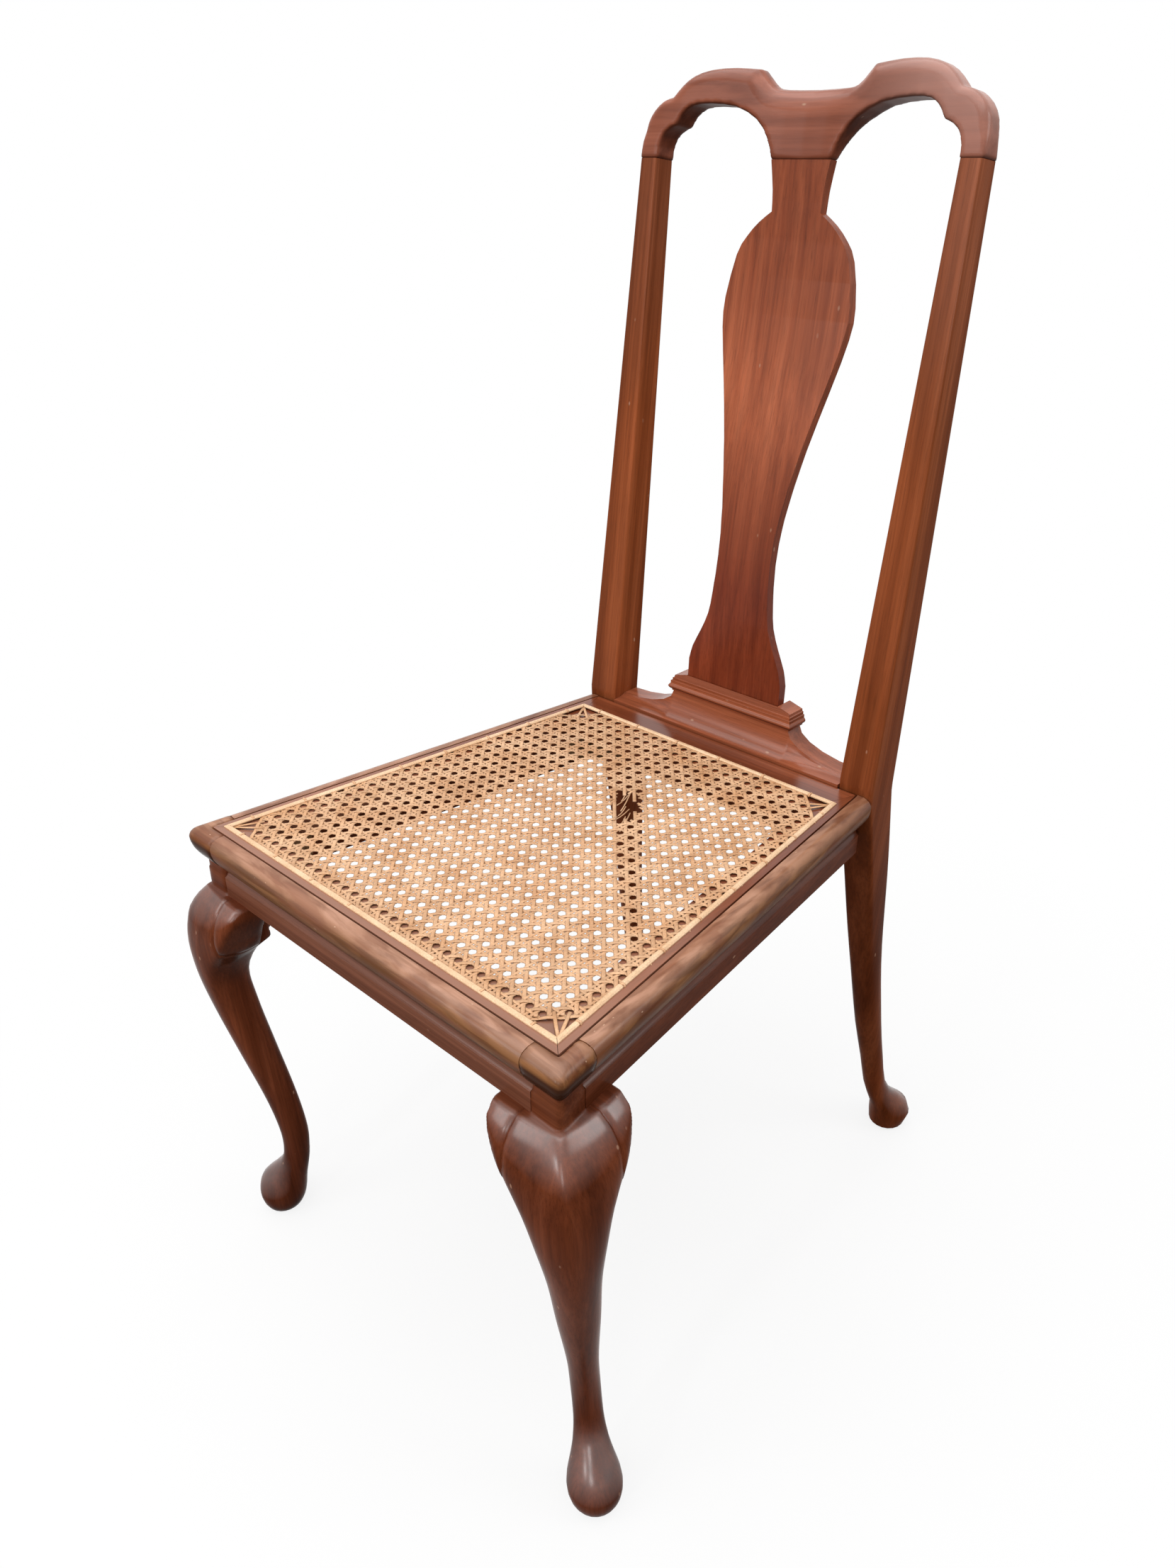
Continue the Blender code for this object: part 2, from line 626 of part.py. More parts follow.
def crest_outline():
    """Points round the crest: across, height and how far the front edge is rounded there."""
    scale = (POST_X + POST_TOP_WIDTH / 2) / CREST_DRAWN_HALF
    outer = POST_X + POST_TOP_WIDTH / 2
    inner = POST_X - POST_TOP_WIDTH / 2
    half = []
    for stretch, first, last in (
        (CREST_DIP, CREST_SCOOP, CREST_ROUNDING),
        (CREST_ARM, CREST_ROUNDING, CREST_SHOULDER_ROUNDING),
        (CREST_SHOULDER, CREST_SHOULDER_ROUNDING, CREST_SHOULDER_ROUNDING),
    ):
        points = through(stretch, 2)[:-1]
        for k, p in enumerate(points):
            rounding = first + (last - first) * k / len(points)
            half.append((p.x * scale * MM, BACK_LENGTH + p.y * MM, rounding))
    half += [(outer, BACK_LENGTH + CREST_END, CREST_SHOULDER_ROUNDING / 2)]
    half += [(outer, BACK_LENGTH, 0.0), (inner, BACK_LENGTH, 0.0)]
    for stretch in (CREST_INSIDE, CREST_ARCH):
        half += [(p.x * scale * MM, BACK_LENGTH + p.y * MM, 0.0) for p in through(stretch, 2)[:-1]]
    half += [(SPLAT_HALF_JOINT, BACK_LENGTH, 0.0)]
    return half + [(-x, z, rounding) for x, z, rounding in reversed(half[1:])]


def inward(before, at, after):
    """Direction into a clockwise outline at one of its points, long enough to keep both edges parallel."""
    first = (Vector(at) - Vector(before)).normalized()
    second = (Vector(after) - Vector(at)).normalized()
    sum_of_both = Vector((first.y + second.y, -first.x - second.x))
    return sum_of_both * 2 / sum_of_both.length_squared


def crest_rings():
    """Rings of the crest from its rounded front to its back."""
    outline = crest_outline()
    spots = [(x, z) for x, z, _ in outline]
    turns = [inward(*three) for three in zip(spots[-1:] + spots[:-1], spots, spots[1:] + spots[:1])]
    rings = []
    for angle in (math.pi / 2 * k / 3 for k in range(4)):
        ring = []
        for (x, z, rounding), turn in zip(outline, turns):
            shift = turn * rounding * (1 - math.sin(angle))
            ring.append((x + shift.x, rounding * (1 - math.cos(angle)), z + shift.y))
        rings.append(ring)
    for into, forward in ((0, 1), (1, 0)):
        ring = []
        for (x, z, rounding), turn in zip(outline, turns):
            back = min(rounding, CREST_BACK_ROUNDING)
            shift = turn * back * into
            ring.append((x + shift.x, CREST_THICK - back * forward, z + shift.y))
        rings.append(ring)
    return rings


def thin_head(work):
    """Thins the head above the splat from the back, so that it meets the splat at one thickness."""
    top = BACK_LENGTH + CREST_HEAD
    geometry = [*work.verts, *work.edges, *work.faces]
    bmesh.ops.bisect_plane(work, geom=geometry, plane_co=top * UP, plane_no=UP, dist=1e-7)
    for corner in work.verts:
        in_head = corner.co.z < top and abs(corner.co.x) < POST_X / 2
        if in_head and corner.co.y > CREST_THICK / 2:
            share = (top - corner.co.z) / CREST_HEAD
            corner.co.y -= (CREST_THICK - SPLAT_THICK - CREST_HEAD_STEP) * share


def crest_rail():
    """Yoke crest with square shoulders, bowed back at the middle, ending in the head of the splat."""
    work = skin(loft(crest_rings()))
    outer = POST_X + POST_TOP_WIDTH / 2
    count = 16
    thin_head(work)
    strips(work, 0, [outer * (2 * k / count - 1) for k in range(count + 1)], crest_bow)
    item = piece("crest_rail", back_plane, work, MAHOGANY, 0.33)
    wide, deep, height = CREST_TENON
    size = (wide + 2 * CLEARANCE, deep + 2 * CLEARANCE, height + CLEARANCE + JOIN)
    centre = (POST_X, POST_TOP_DEPTH / 2, BACK_LENGTH + (height + CLEARANCE - JOIN) / 2)
    for mirror in (False, True):
        combine(item, "DIFFERENCE", helper("crest_mortise", back_plane, box(centre, size, mirror)))
    wide, deep, height = grown(SPLAT_TENON)
    depth = splat_spoon(BACK_LENGTH) + SPLAT_THICK / 2
    hole = box((0, depth, BACK_LENGTH + (height - JOIN) / 2), (wide, deep, height + JOIN))
    combine(item, "DIFFERENCE", helper("crest_splat_mortise", back_plane, hole))


def splat_foot():
    """Height up the back where the splat stands on the shoe."""
    return (SHOE_HEIGHT + CLEARANCE) / math.cos(BACK_LEAN - SEAT_SLOPE) + SPLAT_FOOT_LIFT


def splat():
    """Vase splat, spooned to the sitter's back, with tongues into the crest and the shoe."""
    foot = splat_foot()
    top = BACK_LENGTH - CLEARANCE
    scale = (top - foot) / SPLAT_DRAWN_LENGTH
    half = [(0.0, top)]
    for stretch in (SPLAT_NECK, SPLAT_BODY):
        half += [(p.y * MM, top + p.x * MM * scale) for p in through(stretch, 2)[:-1]]
    half += [(SPLAT_HALF_FOOT, top - SPLAT_DRAWN_FOOT * scale), (SPLAT_HALF_FOOT, foot)]
    outline = half + [(-x, z) for x, z in reversed(half[1:])]
    work = board(outline, SPLAT_THICK)
    count = 16
    strips(work, 2, [foot + (top - foot) * k / count for k in range(count + 1)], splat_spoon)
    item = piece("splat", back_plane, work, MAHOGANY_PALE, 0.33)
    wide, deep, height = SPLAT_TENON
    centre = (0, splat_spoon(top) + SPLAT_THICK / 2, top + (height - JOIN) / 2)
    tongue = box(centre, (wide, deep, height + JOIN))
    combine(item, "UNION", helper("splat_top_tenon", back_plane, tongue))
    combine(item, "UNION", helper("splat_foot_tenon", back_plane, foot_tongue(SPLAT_FOOT_TENON)))


def foot_tongue(size):
    wide, deep, height = size
    middle = splat_spoon(splat_foot()) + SPLAT_THICK / 2
    return box((0, middle, splat_foot() - (height - JOIN) / 2), (wide, deep, height + JOIN))


def shoe():
    """Low rail between the posts that sweeps up to the block under the splat, coved at the front."""
    end = POST_INNER - CLEARANCE
    low = -REAR_RAIL_DROP + CLEARANCE
    back = POST_FRONT + SHOE_DEPTH
    quarter = [math.pi / 2 * k / 5 for k in range(6)]
    sweep = []
    for angle in quarter:
        x = end - (end - SHOE_HALF_TOP) * math.sin(angle)
        rise = SHOE_END_HEIGHT + (SHOE_HEIGHT - SHOE_END_HEIGHT) * (1 - math.cos(angle))
        sweep.append((x, rise))
    stations = sweep + [(-x, rise) for x, rise in reversed(sweep)]
    rings = []
    for x, rise in stations:
        ring = [(x, POST_FRONT, low)]
        for angle in quarter:
            y = POST_FRONT + SHOE_FRONT_COVE * math.sin(angle)
            ring.append((x, y, SHOE_LIP + (rise - SHOE_LIP) * (1 - math.cos(angle))))
        rings.append(ring + [(x, back, rise), (x, back, low)])
    item = piece("shoe", seat_plane, skin(loft(rings)), MAHOGANY, 0.35)
    hole = foot_tongue(grown(SPLAT_FOOT_TENON))
    combine(item, "DIFFERENCE", helper("shoe_mortise", back_plane, hole))


def cap_profile():
    """The cap moulding from its foot up, as shares of its reach and height: a bead under three fillets."""
    bead = [(0.62 + 0.38 * math.sin(math.pi * k / 5), 0.14 + 0.35 * k / 5) for k in range(6)]
    fillets = [(0.62, 0.66), (0.34, 0.69), (0.34, 0.83), (0.10, 0.86), (0.0, 1.0)]
    return [(0.34, 0.0), (0.40, 0.10), *bead, *fillets]


def cap_mouldings():
    """Front strip and two returns, mitred round the foot of the splat."""
    half = SPLAT_HALF_FOOT + CLEARANCE
    to_seat = SEAT_PLANE.inverted() @ BACK_PLANE
    fronts = []
    for height in (splat_foot(), splat_foot() + CAP_HEIGHT + CAP_RISE):
        fronts.append((to_seat @ Vector((0, splat_spoon(height), height))).y)
    front = min(fronts) - CLEARANCE
    back = front + SPLAT_THICK + CAP_PAST_SPLAT
    low = SHOE_HEIGHT + CLEARANCE
    high = low + CAP_HEIGHT
    half_gap = CLEARANCE / 2
    mitre = half + CAP_SIDE_LEDGE - CAP_FRONT_LEDGE
    moulding = []
    for out, height in cap_profile():
        reach = CAP_FRONT_LEDGE + out * CAP_REACH
        moulding.append((mitre + reach, front - reach, low + height * CAP_HEIGHT))

    end = [(mitre, front, low), *moulding, (mitre, front, high)]
    middle = [(half, front, low), *((half, y, z) for _, y, z in moulding), (half, front, high + CAP_RISE)]
    rings = [
        [(half_gap - x, y, z) for x, y, z in end], [(-x, y, z) for x, y, z in middle],
        middle, [(x - half_gap, y, z) for x, y, z in end],
    ]
    piece("cap_front", seat_plane, skin(loft(rings)), MAHOGANY, 0.35)
    for side, mirror in (("right", False), ("left", True)):
        near = [(x, y + half_gap, z) for x, y, z in end]
        far = [(x, back, z) for x, _, z in end]
        item = piece(f"cap_return_{side}", seat_plane, skin(loft([near, far]), mirror), MAHOGANY, 0.35)
        start = front + CLEARANCE
        section = ((half, low), (mitre + half_gap, low), (mitre + half_gap, high), (half, high + CAP_RISE))
        ledge = raised([(x, start, z) for x, z in section], Vector((0, back - start, 0)), mirror)
        combine(item, "UNION", helper(f"cap_ledge_{side}", seat_plane, ledge))


def seat_quad(front, side, rear):
    """Corners of the seat plan with its edges moved in by these amounts, from the front left round."""
    plan = [(-HALF_FRONT, 0), (HALF_FRONT, 0), (HALF_REAR, SEAT_DEPTH), (-HALF_REAR, SEAT_DEPTH)]
    return inset(plan, (front, side, rear, side))


def mitred(outer, inner):
    """Four plans of a mitred frame between two quads: front, right, rear and left."""
    plans = {}
    for k, name in enumerate(("front", "right", "rear", "left")):
        nxt = (k + 1) % 4
        plan = [outer[k], outer[nxt], inner[nxt], inner[k]]
        plans[name] = inset(plan, (0, CLEARANCE / 2, 0, CLEARANCE / 2))
    return plans


def drop_in_seat():
    """Four mitred members with a shallow bed for the cane."""
    outer = seat_quad(SEAT_PLAY, SEAT_PLAY, SEAT_PLAY)
    inner = seat_quad(FRAME_WIDTH, FRAME_WIDTH, FRAME_REAR_WIDTH)
    bed = seat_quad(CANE_MARGIN, CANE_MARGIN, CANE_REAR_MARGIN)
    bed_floor = -CANE_THICK - 2 * CLEARANCE
    for name, plan in mitred(outer, inner).items():
        item = piece(f"seat_{name}", drop_in, slab(plan, -FRAME_THICK, 0), MAHOGANY_PALE, 0.38)
        combine(item, "DIFFERENCE", helper(f"cane_bed_{name}", drop_in, slab(bed, bed_floor, FRAME_THICK)))


def strand_edges(count, length):
    """Places of the strands' edges across the net as shares of its length, border first and last."""
    border = CANE_BORDER / length
    half = CANE_STRAND / 2 / length
    edges = [0.0, border]
    for k in range(1, count):
        middle = border + (1 - 2 * border) * k / count
        edges += [middle - half, middle + half]
    return edges + [1 - border, 1.0]


def cane_panel():
    """Flat woven net: a grid with square gaps that fans with the seat."""
    rim = CANE_MARGIN + CLEARANCE
    corners = seat_quad(rim, rim, CANE_REAR_MARGIN + CLEARANCE)
    front_left, front_right, rear_right, rear_left = (Vector(p) for p in corners)
    across = strand_edges(CANE_COLUMNS, (front_right - front_left).length)
    deep = strand_edges(CANE_ROWS, (rear_left - front_left).length)
    columns = len(across) - 1
    rows = len(deep) - 1
    work = bmesh.new()
    bmesh.ops.create_grid(work, x_segments=columns, y_segments=rows, size=1)
    gaps = []
    for face in work.faces:
        middle = face.calc_center_median()
        column = int((middle.x + 1) / 2 * columns)
        row = int((middle.y + 1) / 2 * rows)
        if column % 2 and row % 2:
            gaps.append(face)
    bmesh.ops.delete(work, geom=gaps, context="FACES")
    for corner in work.verts:
        u = across[round((corner.co.x + 1) / 2 * columns)]
        v = deep[round((corner.co.y + 1) / 2 * rows)]
        spot = front_left.lerp(front_right, u).lerp(rear_left.lerp(rear_right, u), v)
        corner.co = (spot.x, spot.y, -CLEARANCE)
    copied = bmesh.ops.extrude_face_region(work, geom=work.faces)["geom"]
    moved = [item for item in copied if isinstance(item, bmesh.types.BMVert)]
    bmesh.ops.translate(work, vec=(0, 0, -CANE_THICK), verts=moved)
    bmesh.ops.recalc_face_normals(work, faces=work.faces)
    piece("cane_panel", drop_in, work, CANE, 0.55)


def cane_binder():
    """Four strips of binding cane over the edge of the net."""
    outer = seat_quad(CANE_MARGIN, CANE_MARGIN, CANE_REAR_MARGIN)
    inner = inset(outer, (BINDER_WIDTH,) * 4)
    for name, plan in mitred(outer, inner).items():
        narrow = inset(plan, (BINDER_ROUNDING, 0, BINDER_ROUNDING, 0))
        levels = ((plan, 0.0), (plan, BINDER_THICK * 0.5), (narrow, BINDER_THICK))
        rings = [[(x, y, z) for x, y in ring] for ring, z in levels]
        piece(f"binder_{name}", drop_in, skin(loft(rings)), BINDER, 0.4)


def corner_blocks(side, mirror):
    """Glue blocks across the inner corners, under the seat."""
    top = -FRAME_THICK - 2 * CLEARANCE
    gap = RAIL_IN + CLEARANCE
    near = STUMP_LENGTH + CLEARANCE + BLOCK_FROM_STUMP
    far = near + BLOCK_REACH
    plan = [
        Vector((HALF_FRONT - near - gap, gap, 0)),
        Vector((HALF_FRONT - far - gap, gap, 0)),
        side_point(-gap, far + gap),
        side_point(-gap, near + gap),
    ]
    work = slab([p.to_2d() for p in plan], top - BLOCK_HEIGHT, top, mirror)
    piece(f"front_block_{side}", seat_plane, work, BEECH, 0.7)
    ledge = POST_FRONT - REAR_LEDGE - CLEARANCE
    run = (ledge + gap * SIDE_OUT.y) / SIDE_RUN.y
    corner = side_point(-gap, run)
    plan = [corner, side_point(-gap, run - BLOCK_REACH), corner - Vector((BLOCK_REACH, 0, 0))]
    work = slab([p.to_2d() for p in plan], top - BLOCK_HEIGHT, top, mirror)
    piece(f"rear_block_{side}", seat_plane, work, BEECH, 0.7)


def settle():
    """Centres the footprint of the chair on the origin."""
    bpy.context.view_layer.update()
    depths = []
    for item in bpy.data.collections["queen_anne_dining_chair"].objects:
        if item.type == "MESH":
            depths += [(item.matrix_world @ corner.co).y for corner in item.data.vertices]
    chair.location.y = -(min(depths) + max(depths)) / 2


clear_scene()
chair = marker("chair")
seat_plane = marker("seat_plane", chair, SEAT_PLANE)
back_plane = marker("back_plane", chair, BACK_PLANE)
drop_in = marker("drop_in_seat", seat_plane)
for side, mirror in (("right", False), ("left", True)):
    front_leg(side, mirror)
    knee_ears(side, mirror)
    side_rail(side, mirror)
    back_post(side, mirror)
    corner_blocks(side, mirror)
front_rail()
rear_rail()
crest_rail()
splat()
shoe()
cap_mouldings()
drop_in_seat()
cane_panel()
cane_binder()
settle()
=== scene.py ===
"""Looks of the caned dining chair: its finishes, the woven cane, the floor, the light and the camera."""

import math
import random

import bmesh
import bpy
from mathutils import Matrix, Vector


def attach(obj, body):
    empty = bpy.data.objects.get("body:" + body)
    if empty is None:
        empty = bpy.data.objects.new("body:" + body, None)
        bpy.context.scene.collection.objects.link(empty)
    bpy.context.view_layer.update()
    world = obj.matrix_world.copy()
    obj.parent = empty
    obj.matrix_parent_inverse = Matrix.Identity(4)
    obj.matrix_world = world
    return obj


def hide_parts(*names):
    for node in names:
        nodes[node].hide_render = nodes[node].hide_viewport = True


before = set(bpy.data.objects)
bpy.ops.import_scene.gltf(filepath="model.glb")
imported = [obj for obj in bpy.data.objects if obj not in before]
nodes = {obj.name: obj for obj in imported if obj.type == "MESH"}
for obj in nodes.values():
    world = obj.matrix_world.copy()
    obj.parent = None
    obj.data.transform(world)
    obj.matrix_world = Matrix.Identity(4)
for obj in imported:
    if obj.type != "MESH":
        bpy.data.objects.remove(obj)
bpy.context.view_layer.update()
scene = bpy.context.scene

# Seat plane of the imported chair: its front edge, its slope and levels from it; and the lean of the back
SEAT_ORIGIN = Vector((0, -0.24754, 0.451))
SEAT_SLOPE = math.radians(3.5)
SEAT_NORMAL = Vector((0, math.sin(SEAT_SLOPE), math.cos(SEAT_SLOPE)))
NOSING_BOTTOM = -0.026
RAIL_BOTTOM = -0.055
BACK_LEAN = math.radians(10.7)

# Plan of the cane bed and size of the binder round it, in the seat plane
BED_HALF_FRONT = 0.1925
BED_HALF_REAR = 0.1475
BED_FRONT = 0.0075
BED_REAR = 0.383
BINDER_WIDTH = 0.0045
BINDER_TOP = 0.0018

# Weave: its pitch, the gap inside a pair, its level, and how far strands rise and stray
COLUMN_PITCH = 0.0117
ROW_PITCH = 0.0126
FIRST_ROW = 0.022
COLUMN_HALF_GAP = 0.00175
ROW_HALF_GAP = 0.00205
WEAVE_LEVEL = -0.0006
OVER = 0.0006
DIAGONAL_LIFT = 0.0001
STRAY = 0.0002
WEAVE_SEED = 7

# Strands: their section, steps to a pitch, and the runs that they are laid in before the bed cuts them
STRAND_WIDTH = 0.0027
DIAGONAL_WIDTH = 0.0033
STITCH_WIDTH = 0.8 * STRAND_WIDTH
STRAND_THICK = 0.0006
DOME_WIDTH_SHARE = 0.55
DOME_HEIGHT_SHARE = 0.45
BELLY_SHARE = 0.5
COLUMNS = range(-17, 17)
ROWS = range(-2, 31)
DIAGONALS = range(-60, 61)
PAIR_STEPS = 4
DIAGONAL_STEPS = 2.8
COLUMN_REACH = 0.4
ROW_REACH = 0.2
DIAGONAL_REACH = 0.22

# Corners left open, in steps of the weave, and the fans in them, measured from the corner of the bed
FRONT_OPEN_STEPS = 3.02
REAR_OPEN_STEPS = 2.70
CORNER_HOLE = 0.0035
FAN_ENDS = ((0.0247, 0.0207), (0.0167, 0.0273))

# Stitches over the binder: shares of its width and the level at each point of a loop
STITCH_PITCH = 0.047
STITCH_TOP = BINDER_TOP + 0.0002
STITCH_LOOP = ((-0.05, 0.0), (0.10, STITCH_TOP), (0.90, STITCH_TOP), (1.10, 0.0))

# Tear: its place and size, how unevenly each layer breaks at its edge, and the split strands across it
TEAR_CENTRE = Vector((0.0218, 0.2576))
TEAR_ALONG = Vector((0.66, -0.75)).normalized()
TEAR_HALF_LENGTH = 0.027
TEAR_HALF_WIDTH = 0.0115
COLUMN_BREAK = (-0.3, 0.3)
ROW_BREAK = (-0.35, 0.35)
DIAGONAL_BREAKS = {-1: (-0.6, -0.3), 1: (-0.3, 0.3)}
SPLIT_COUNT = 7
SPLIT_FIRST = -0.95
SPLIT_STEP = 0.3125
SPLIT_LEAN = (-0.55, -0.15)
SPLIT_REACH = 0.016
SPLIT_ENDS = (0.001, 0.006, SPLIT_REACH)
SPLIT_SAG = 0.0012
SPLIT_WIDTH = 0.0011
SPLIT_TONE = 0.9

# Dark, middle and light tone of each wood
TONES = {
    "crest": ((0.200, 0.054, 0.027), (0.262, 0.075, 0.039), (0.325, 0.099, 0.054)),
    "splat": ((0.315, 0.072, 0.026), (0.390, 0.096, 0.036), (0.465, 0.124, 0.050)),
    "post": ((0.200, 0.046, 0.013), (0.285, 0.070, 0.021), (0.365, 0.098, 0.033)),
    "mahogany": ((0.215, 0.055, 0.023), (0.305, 0.082, 0.035), (0.390, 0.114, 0.052)),
    # Front rail: painted lighter and greyer than the side rails, for the light and sheen on the front of
    # the chair
    "front_rail": ((0.140, 0.044, 0.022), (0.200, 0.066, 0.035), (0.265, 0.094, 0.052)),
    "side_rail": ((0.105, 0.025, 0.009), (0.155, 0.038, 0.015), (0.210, 0.058, 0.024)),
    "dark": ((0.110, 0.025, 0.009), (0.160, 0.038, 0.014), (0.210, 0.054, 0.022)),
    "seat": ((0.140, 0.033, 0.012), (0.205, 0.051, 0.020), (0.275, 0.076, 0.031)),
    "beech": ((0.180, 0.090, 0.042), (0.260, 0.140, 0.066), (0.330, 0.190, 0.095)),
}

# Colours laid over the wood, painted sheen among them, and factors that tone it
NICK = (0.42, 0.22, 0.14)
GOLDEN = (0.30, 0.128, 0.050)
GOLDEN_DARK = (0.17, 0.066, 0.026)
RUBBED_AND_SHEEN = (0.50, 0.265, 0.175)
SCUFF = (0.58, 0.36, 0.24)
STUMP_STAIN = (0.060, 0.020, 0.009)
PAINTED_SHEEN = (0.60, 0.34, 0.28)
FOOT_SHADE = (0.70, 0.68, 0.72)
STUMP_DULL = (0.3, 0.3, 0.3)
UNCHANGED = (1, 1, 1)

# Marks of the grain: how much longer than wide they are, and about how many go to a metre
STRIPE_STRETCH = 45
STRIPE_SCALE = 60.0
FIBRE_STRETCH = 80
FIBRE_SCALE = 480.0
PORE_STRETCH = 35
PORE_SCALE = 1500.0
PATCH_STRETCH = 2
PATCH_SCALE = 9.0
STREAK_STRETCH = 9
STREAK_SCALE = 150.0
BLOTCH_STRETCH = 3
BLOTCH_SCALE = 60.0
NICK_STRETCH = 2
NICK_SCALE = 70.0
SCUFF_SCALE = 160.0
CANE_PATCH_SCALE = 42.0
CANE_FIBRE_SCALE = 900.0

# Share of the spots where a nick or a scuff may lie that have one
NICK_SHARE = 0.60
SCUFF_SHARE = 0.30

# Strength of the tones, painted shade and sheen among them, at the rear where the name says so, and shine
# of the bare wood
PAINTED_UNDERSIDE_SHADE = 0.38
PAINTED_SHEEN_SHARE = 0.40
SEAT_SHEEN_SHARE = 0.42
STUMP_RUBBED_AND_SHEEN_SHARE = 0.75
GOLDEN_REAR_SHARE = 0.55
RUBBED_AND_SHEEN_REAR_SHARE = 0.35
WOOD_SPECULAR = 0.012

# Where tones change: levels counted up from the seat plane, and places on an axis of the chair
BACK_TOP_LEVELS = (0.28, 0.44)
FOOT_LEVELS = (-0.38, -0.28)
FOOT_POLISH_LEVELS = (-0.42, -0.34)
STUMP_FOOT_LEVELS = (RAIL_BOTTOM - 0.001, RAIL_BOTTOM)
STUMP_STAIN_LEVELS = (NOSING_BOTTOM, NOSING_BOTTOM + 0.001)
STUMP_WEAR_AND_SHEEN_LEVELS = (-0.0105, -0.0065)
GOLDEN_LEVELS = (NOSING_BOTTOM, NOSING_BOTTOM + 0.005)
RUBBED_AND_SHEEN_LEVELS = (NOSING_BOTTOM, -0.012)
SCUFF_LEVELS = (-0.018, -0.012)
GOLDEN_FADE_Y = (0.02, 0.14)
RUBBED_AND_SHEEN_FADE_Y = (-0.10, 0.12)
SEAT_FADE_Y = (-0.21, 0.02)
PAINTED_SHEEN_X = (0.03, 0.10)
PAINTED_SHEEN_Z = (0.890, 0.945)

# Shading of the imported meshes, and easing of the carved ones, with normals blurred less above the knee
WELD_DISTANCE = 0.00002
SHARP_ANGLE = math.radians(34)
CARVING_VOXEL = 0.0009
SMOOTHING_SHARE = 0.5
SMOOTHING_ROUNDS = 4
CARVING_SWELL = 0.00035
EAR_SWELL = 0.0008
LEG_BLURS = 44
CREST_BLURS = 12
KNEE_Z = (0.30, 0.34)
ABOVE_KNEE_SHARE = 0.3

# Pieces of each finish
EARS = ("front_ear_left", "front_ear_right", "side_ear_left", "side_ear_right")
PIECES = {
    "crest": ("crest_rail",),
    "splat": ("splat",),
    "post": ("back_post_left", "back_post_right"),
    "front_leg": ("front_leg_left", "front_leg_right", *EARS),
    "front_rail": ("front_rail",),
    "side_rail": ("left_rail", "right_rail"),
    "rear_rail": ("rear_rail",),
    "shoe": ("shoe", "cap_front"),
    "cap_return": ("cap_return_left", "cap_return_right"),
    "seat_across": ("seat_front", "seat_rear"),
    "seat_side": ("seat_left", "seat_right"),
    "block": ("front_block_left", "front_block_right", "rear_block_left", "rear_block_right"),
    "binder": ("binder_front", "binder_left", "binder_rear", "binder_right"),
}

# Camera, fitted to the photograph: its place and directions, and its sensor and lens in millimetres
CAMERA_PLACE = Vector((0.59271, -0.60095, 0.95506))
CAMERA_RIGHT = Vector((0.72215, 0.69037, -0.04346))
CAMERA_FORWARD = Vector((-0.61008, 0.60603, -0.51042))
SENSOR_WIDTH = 36
FOCAL_LENGTH = 26.93

# Lamps: place, target, width in metres and power in watts
LAMPS = {
    "overhead": ((-0.2, -0.2, 2.6), (-0.2, -0.2, 0), 3.4, 61),
    "front": ((-1.0, -2.2, 1.75), (0, 0, 0.45), 1.4, 13),
    "side": ((1.9, 1.2, 1.65), (0.1, 0, 0.4), 1.3, 13),
    "knee_spark": ((0.3, -2.65, 1.35), (0.2, -0.2, 0.3), 0.25, 9),
    "foot_spark": ((1.45, -2.2, 1.2), (0.2, -0.2, 0.1), 0.55, 7),
}

# Sky and floor: the floor is darker for the light that bounces off it than for the eye
SKY_STRENGTH = 0.28
FLOOR_RADIUS = 12
FLOOR_SIDES = 64
FLOOR_FADE = ((0.25, 0.82), (0.80, 1.0))
FLOOR_BOUNCE = (0.30, 0.30, 0.30, 1)
FLOOR_PALE = (0.9, 0.9, 0.9, 1)
WHITE = (1, 1, 1, 1)


def link(tree, source, target):
    """Leads an output of one node to an input of another."""
    tree.links.new(source, target)


def node(tree, kind, **settings):
    """Adds a node, and sets its inputs or else its properties by name."""
    made = tree.nodes.new(kind)
    for key, value in settings.items():
        if key in made.inputs:
            made.inputs[key].default_value = value
        else:
            setattr(made, key, value)
    return made


def ramp(tree, factor, *stops):
    """Runs through colours or greys, each given with its place, as a factor rises."""
    made = node(tree, "ShaderNodeValToRGB")
    elements = made.color_ramp.elements
    while len(elements) < len(stops):
        elements.new(0.5)
    for element, (place, value) in zip(elements, stops):
        element.position = place
        element.color = (*value, 1) if hasattr(value, "__len__") else (value, value, value, 1)
    link(tree, factor, made.inputs["Fac"])
    return made.outputs["Color"]


def mix(tree, factor, first, second, blend="MIX"):
    """Blends two colours by a factor; each may be a value or the output of a node."""
    made = node(tree, "ShaderNodeMix", data_type="RGBA", blend_type=blend)
    # The node's colour sockets share their names with those for numbers, so they are found by place
    for socket, value in ((made.inputs[0], factor), (made.inputs[6], first), (made.inputs[7], second)):
        if isinstance(value, bpy.types.NodeSocket):
            link(tree, value, socket)
        else:
            socket.default_value = value if isinstance(value, float) else (*value, 1)
    return made.outputs[2]


def times(tree, first, *others):
    """Product of colours or shares."""
    product = first
    for other in others:
        product = mix(tree, 1.0, product, other, "MULTIPLY")
    return product


def graded(tree, value, low, high, first=0.0, last=1.0):
    """Goes from a first to a last number while a value goes from low to high."""
    made = node(tree, "ShaderNodeMapRange")
    for key, number in (("From Min", low), ("From Max", high), ("To Min", first), ("To Max", last)):
        made.inputs[key].default_value = number
    link(tree, value, made.inputs["Value"])
    return made.outputs["Result"]


def coordinate(tree, vector, axis):
    """One coordinate of a vector."""
    parts = node(tree, "ShaderNodeSeparateXYZ")
    link(tree, vector, parts.inputs[0])
    return parts.outputs[axis]


def chair_place(tree):
    """Place of a surface in the frame of its piece, which is the frame of the chair at rest."""
    return node(tree, "ShaderNodeTexCoord").outputs["Object"]


def along_axis(tree, axis, low, high, first, last):
    """Goes from a first to a last number between two places on one axis of the chair."""
    return graded(tree, coordinate(tree, chair_place(tree), axis), low, high, first, last)


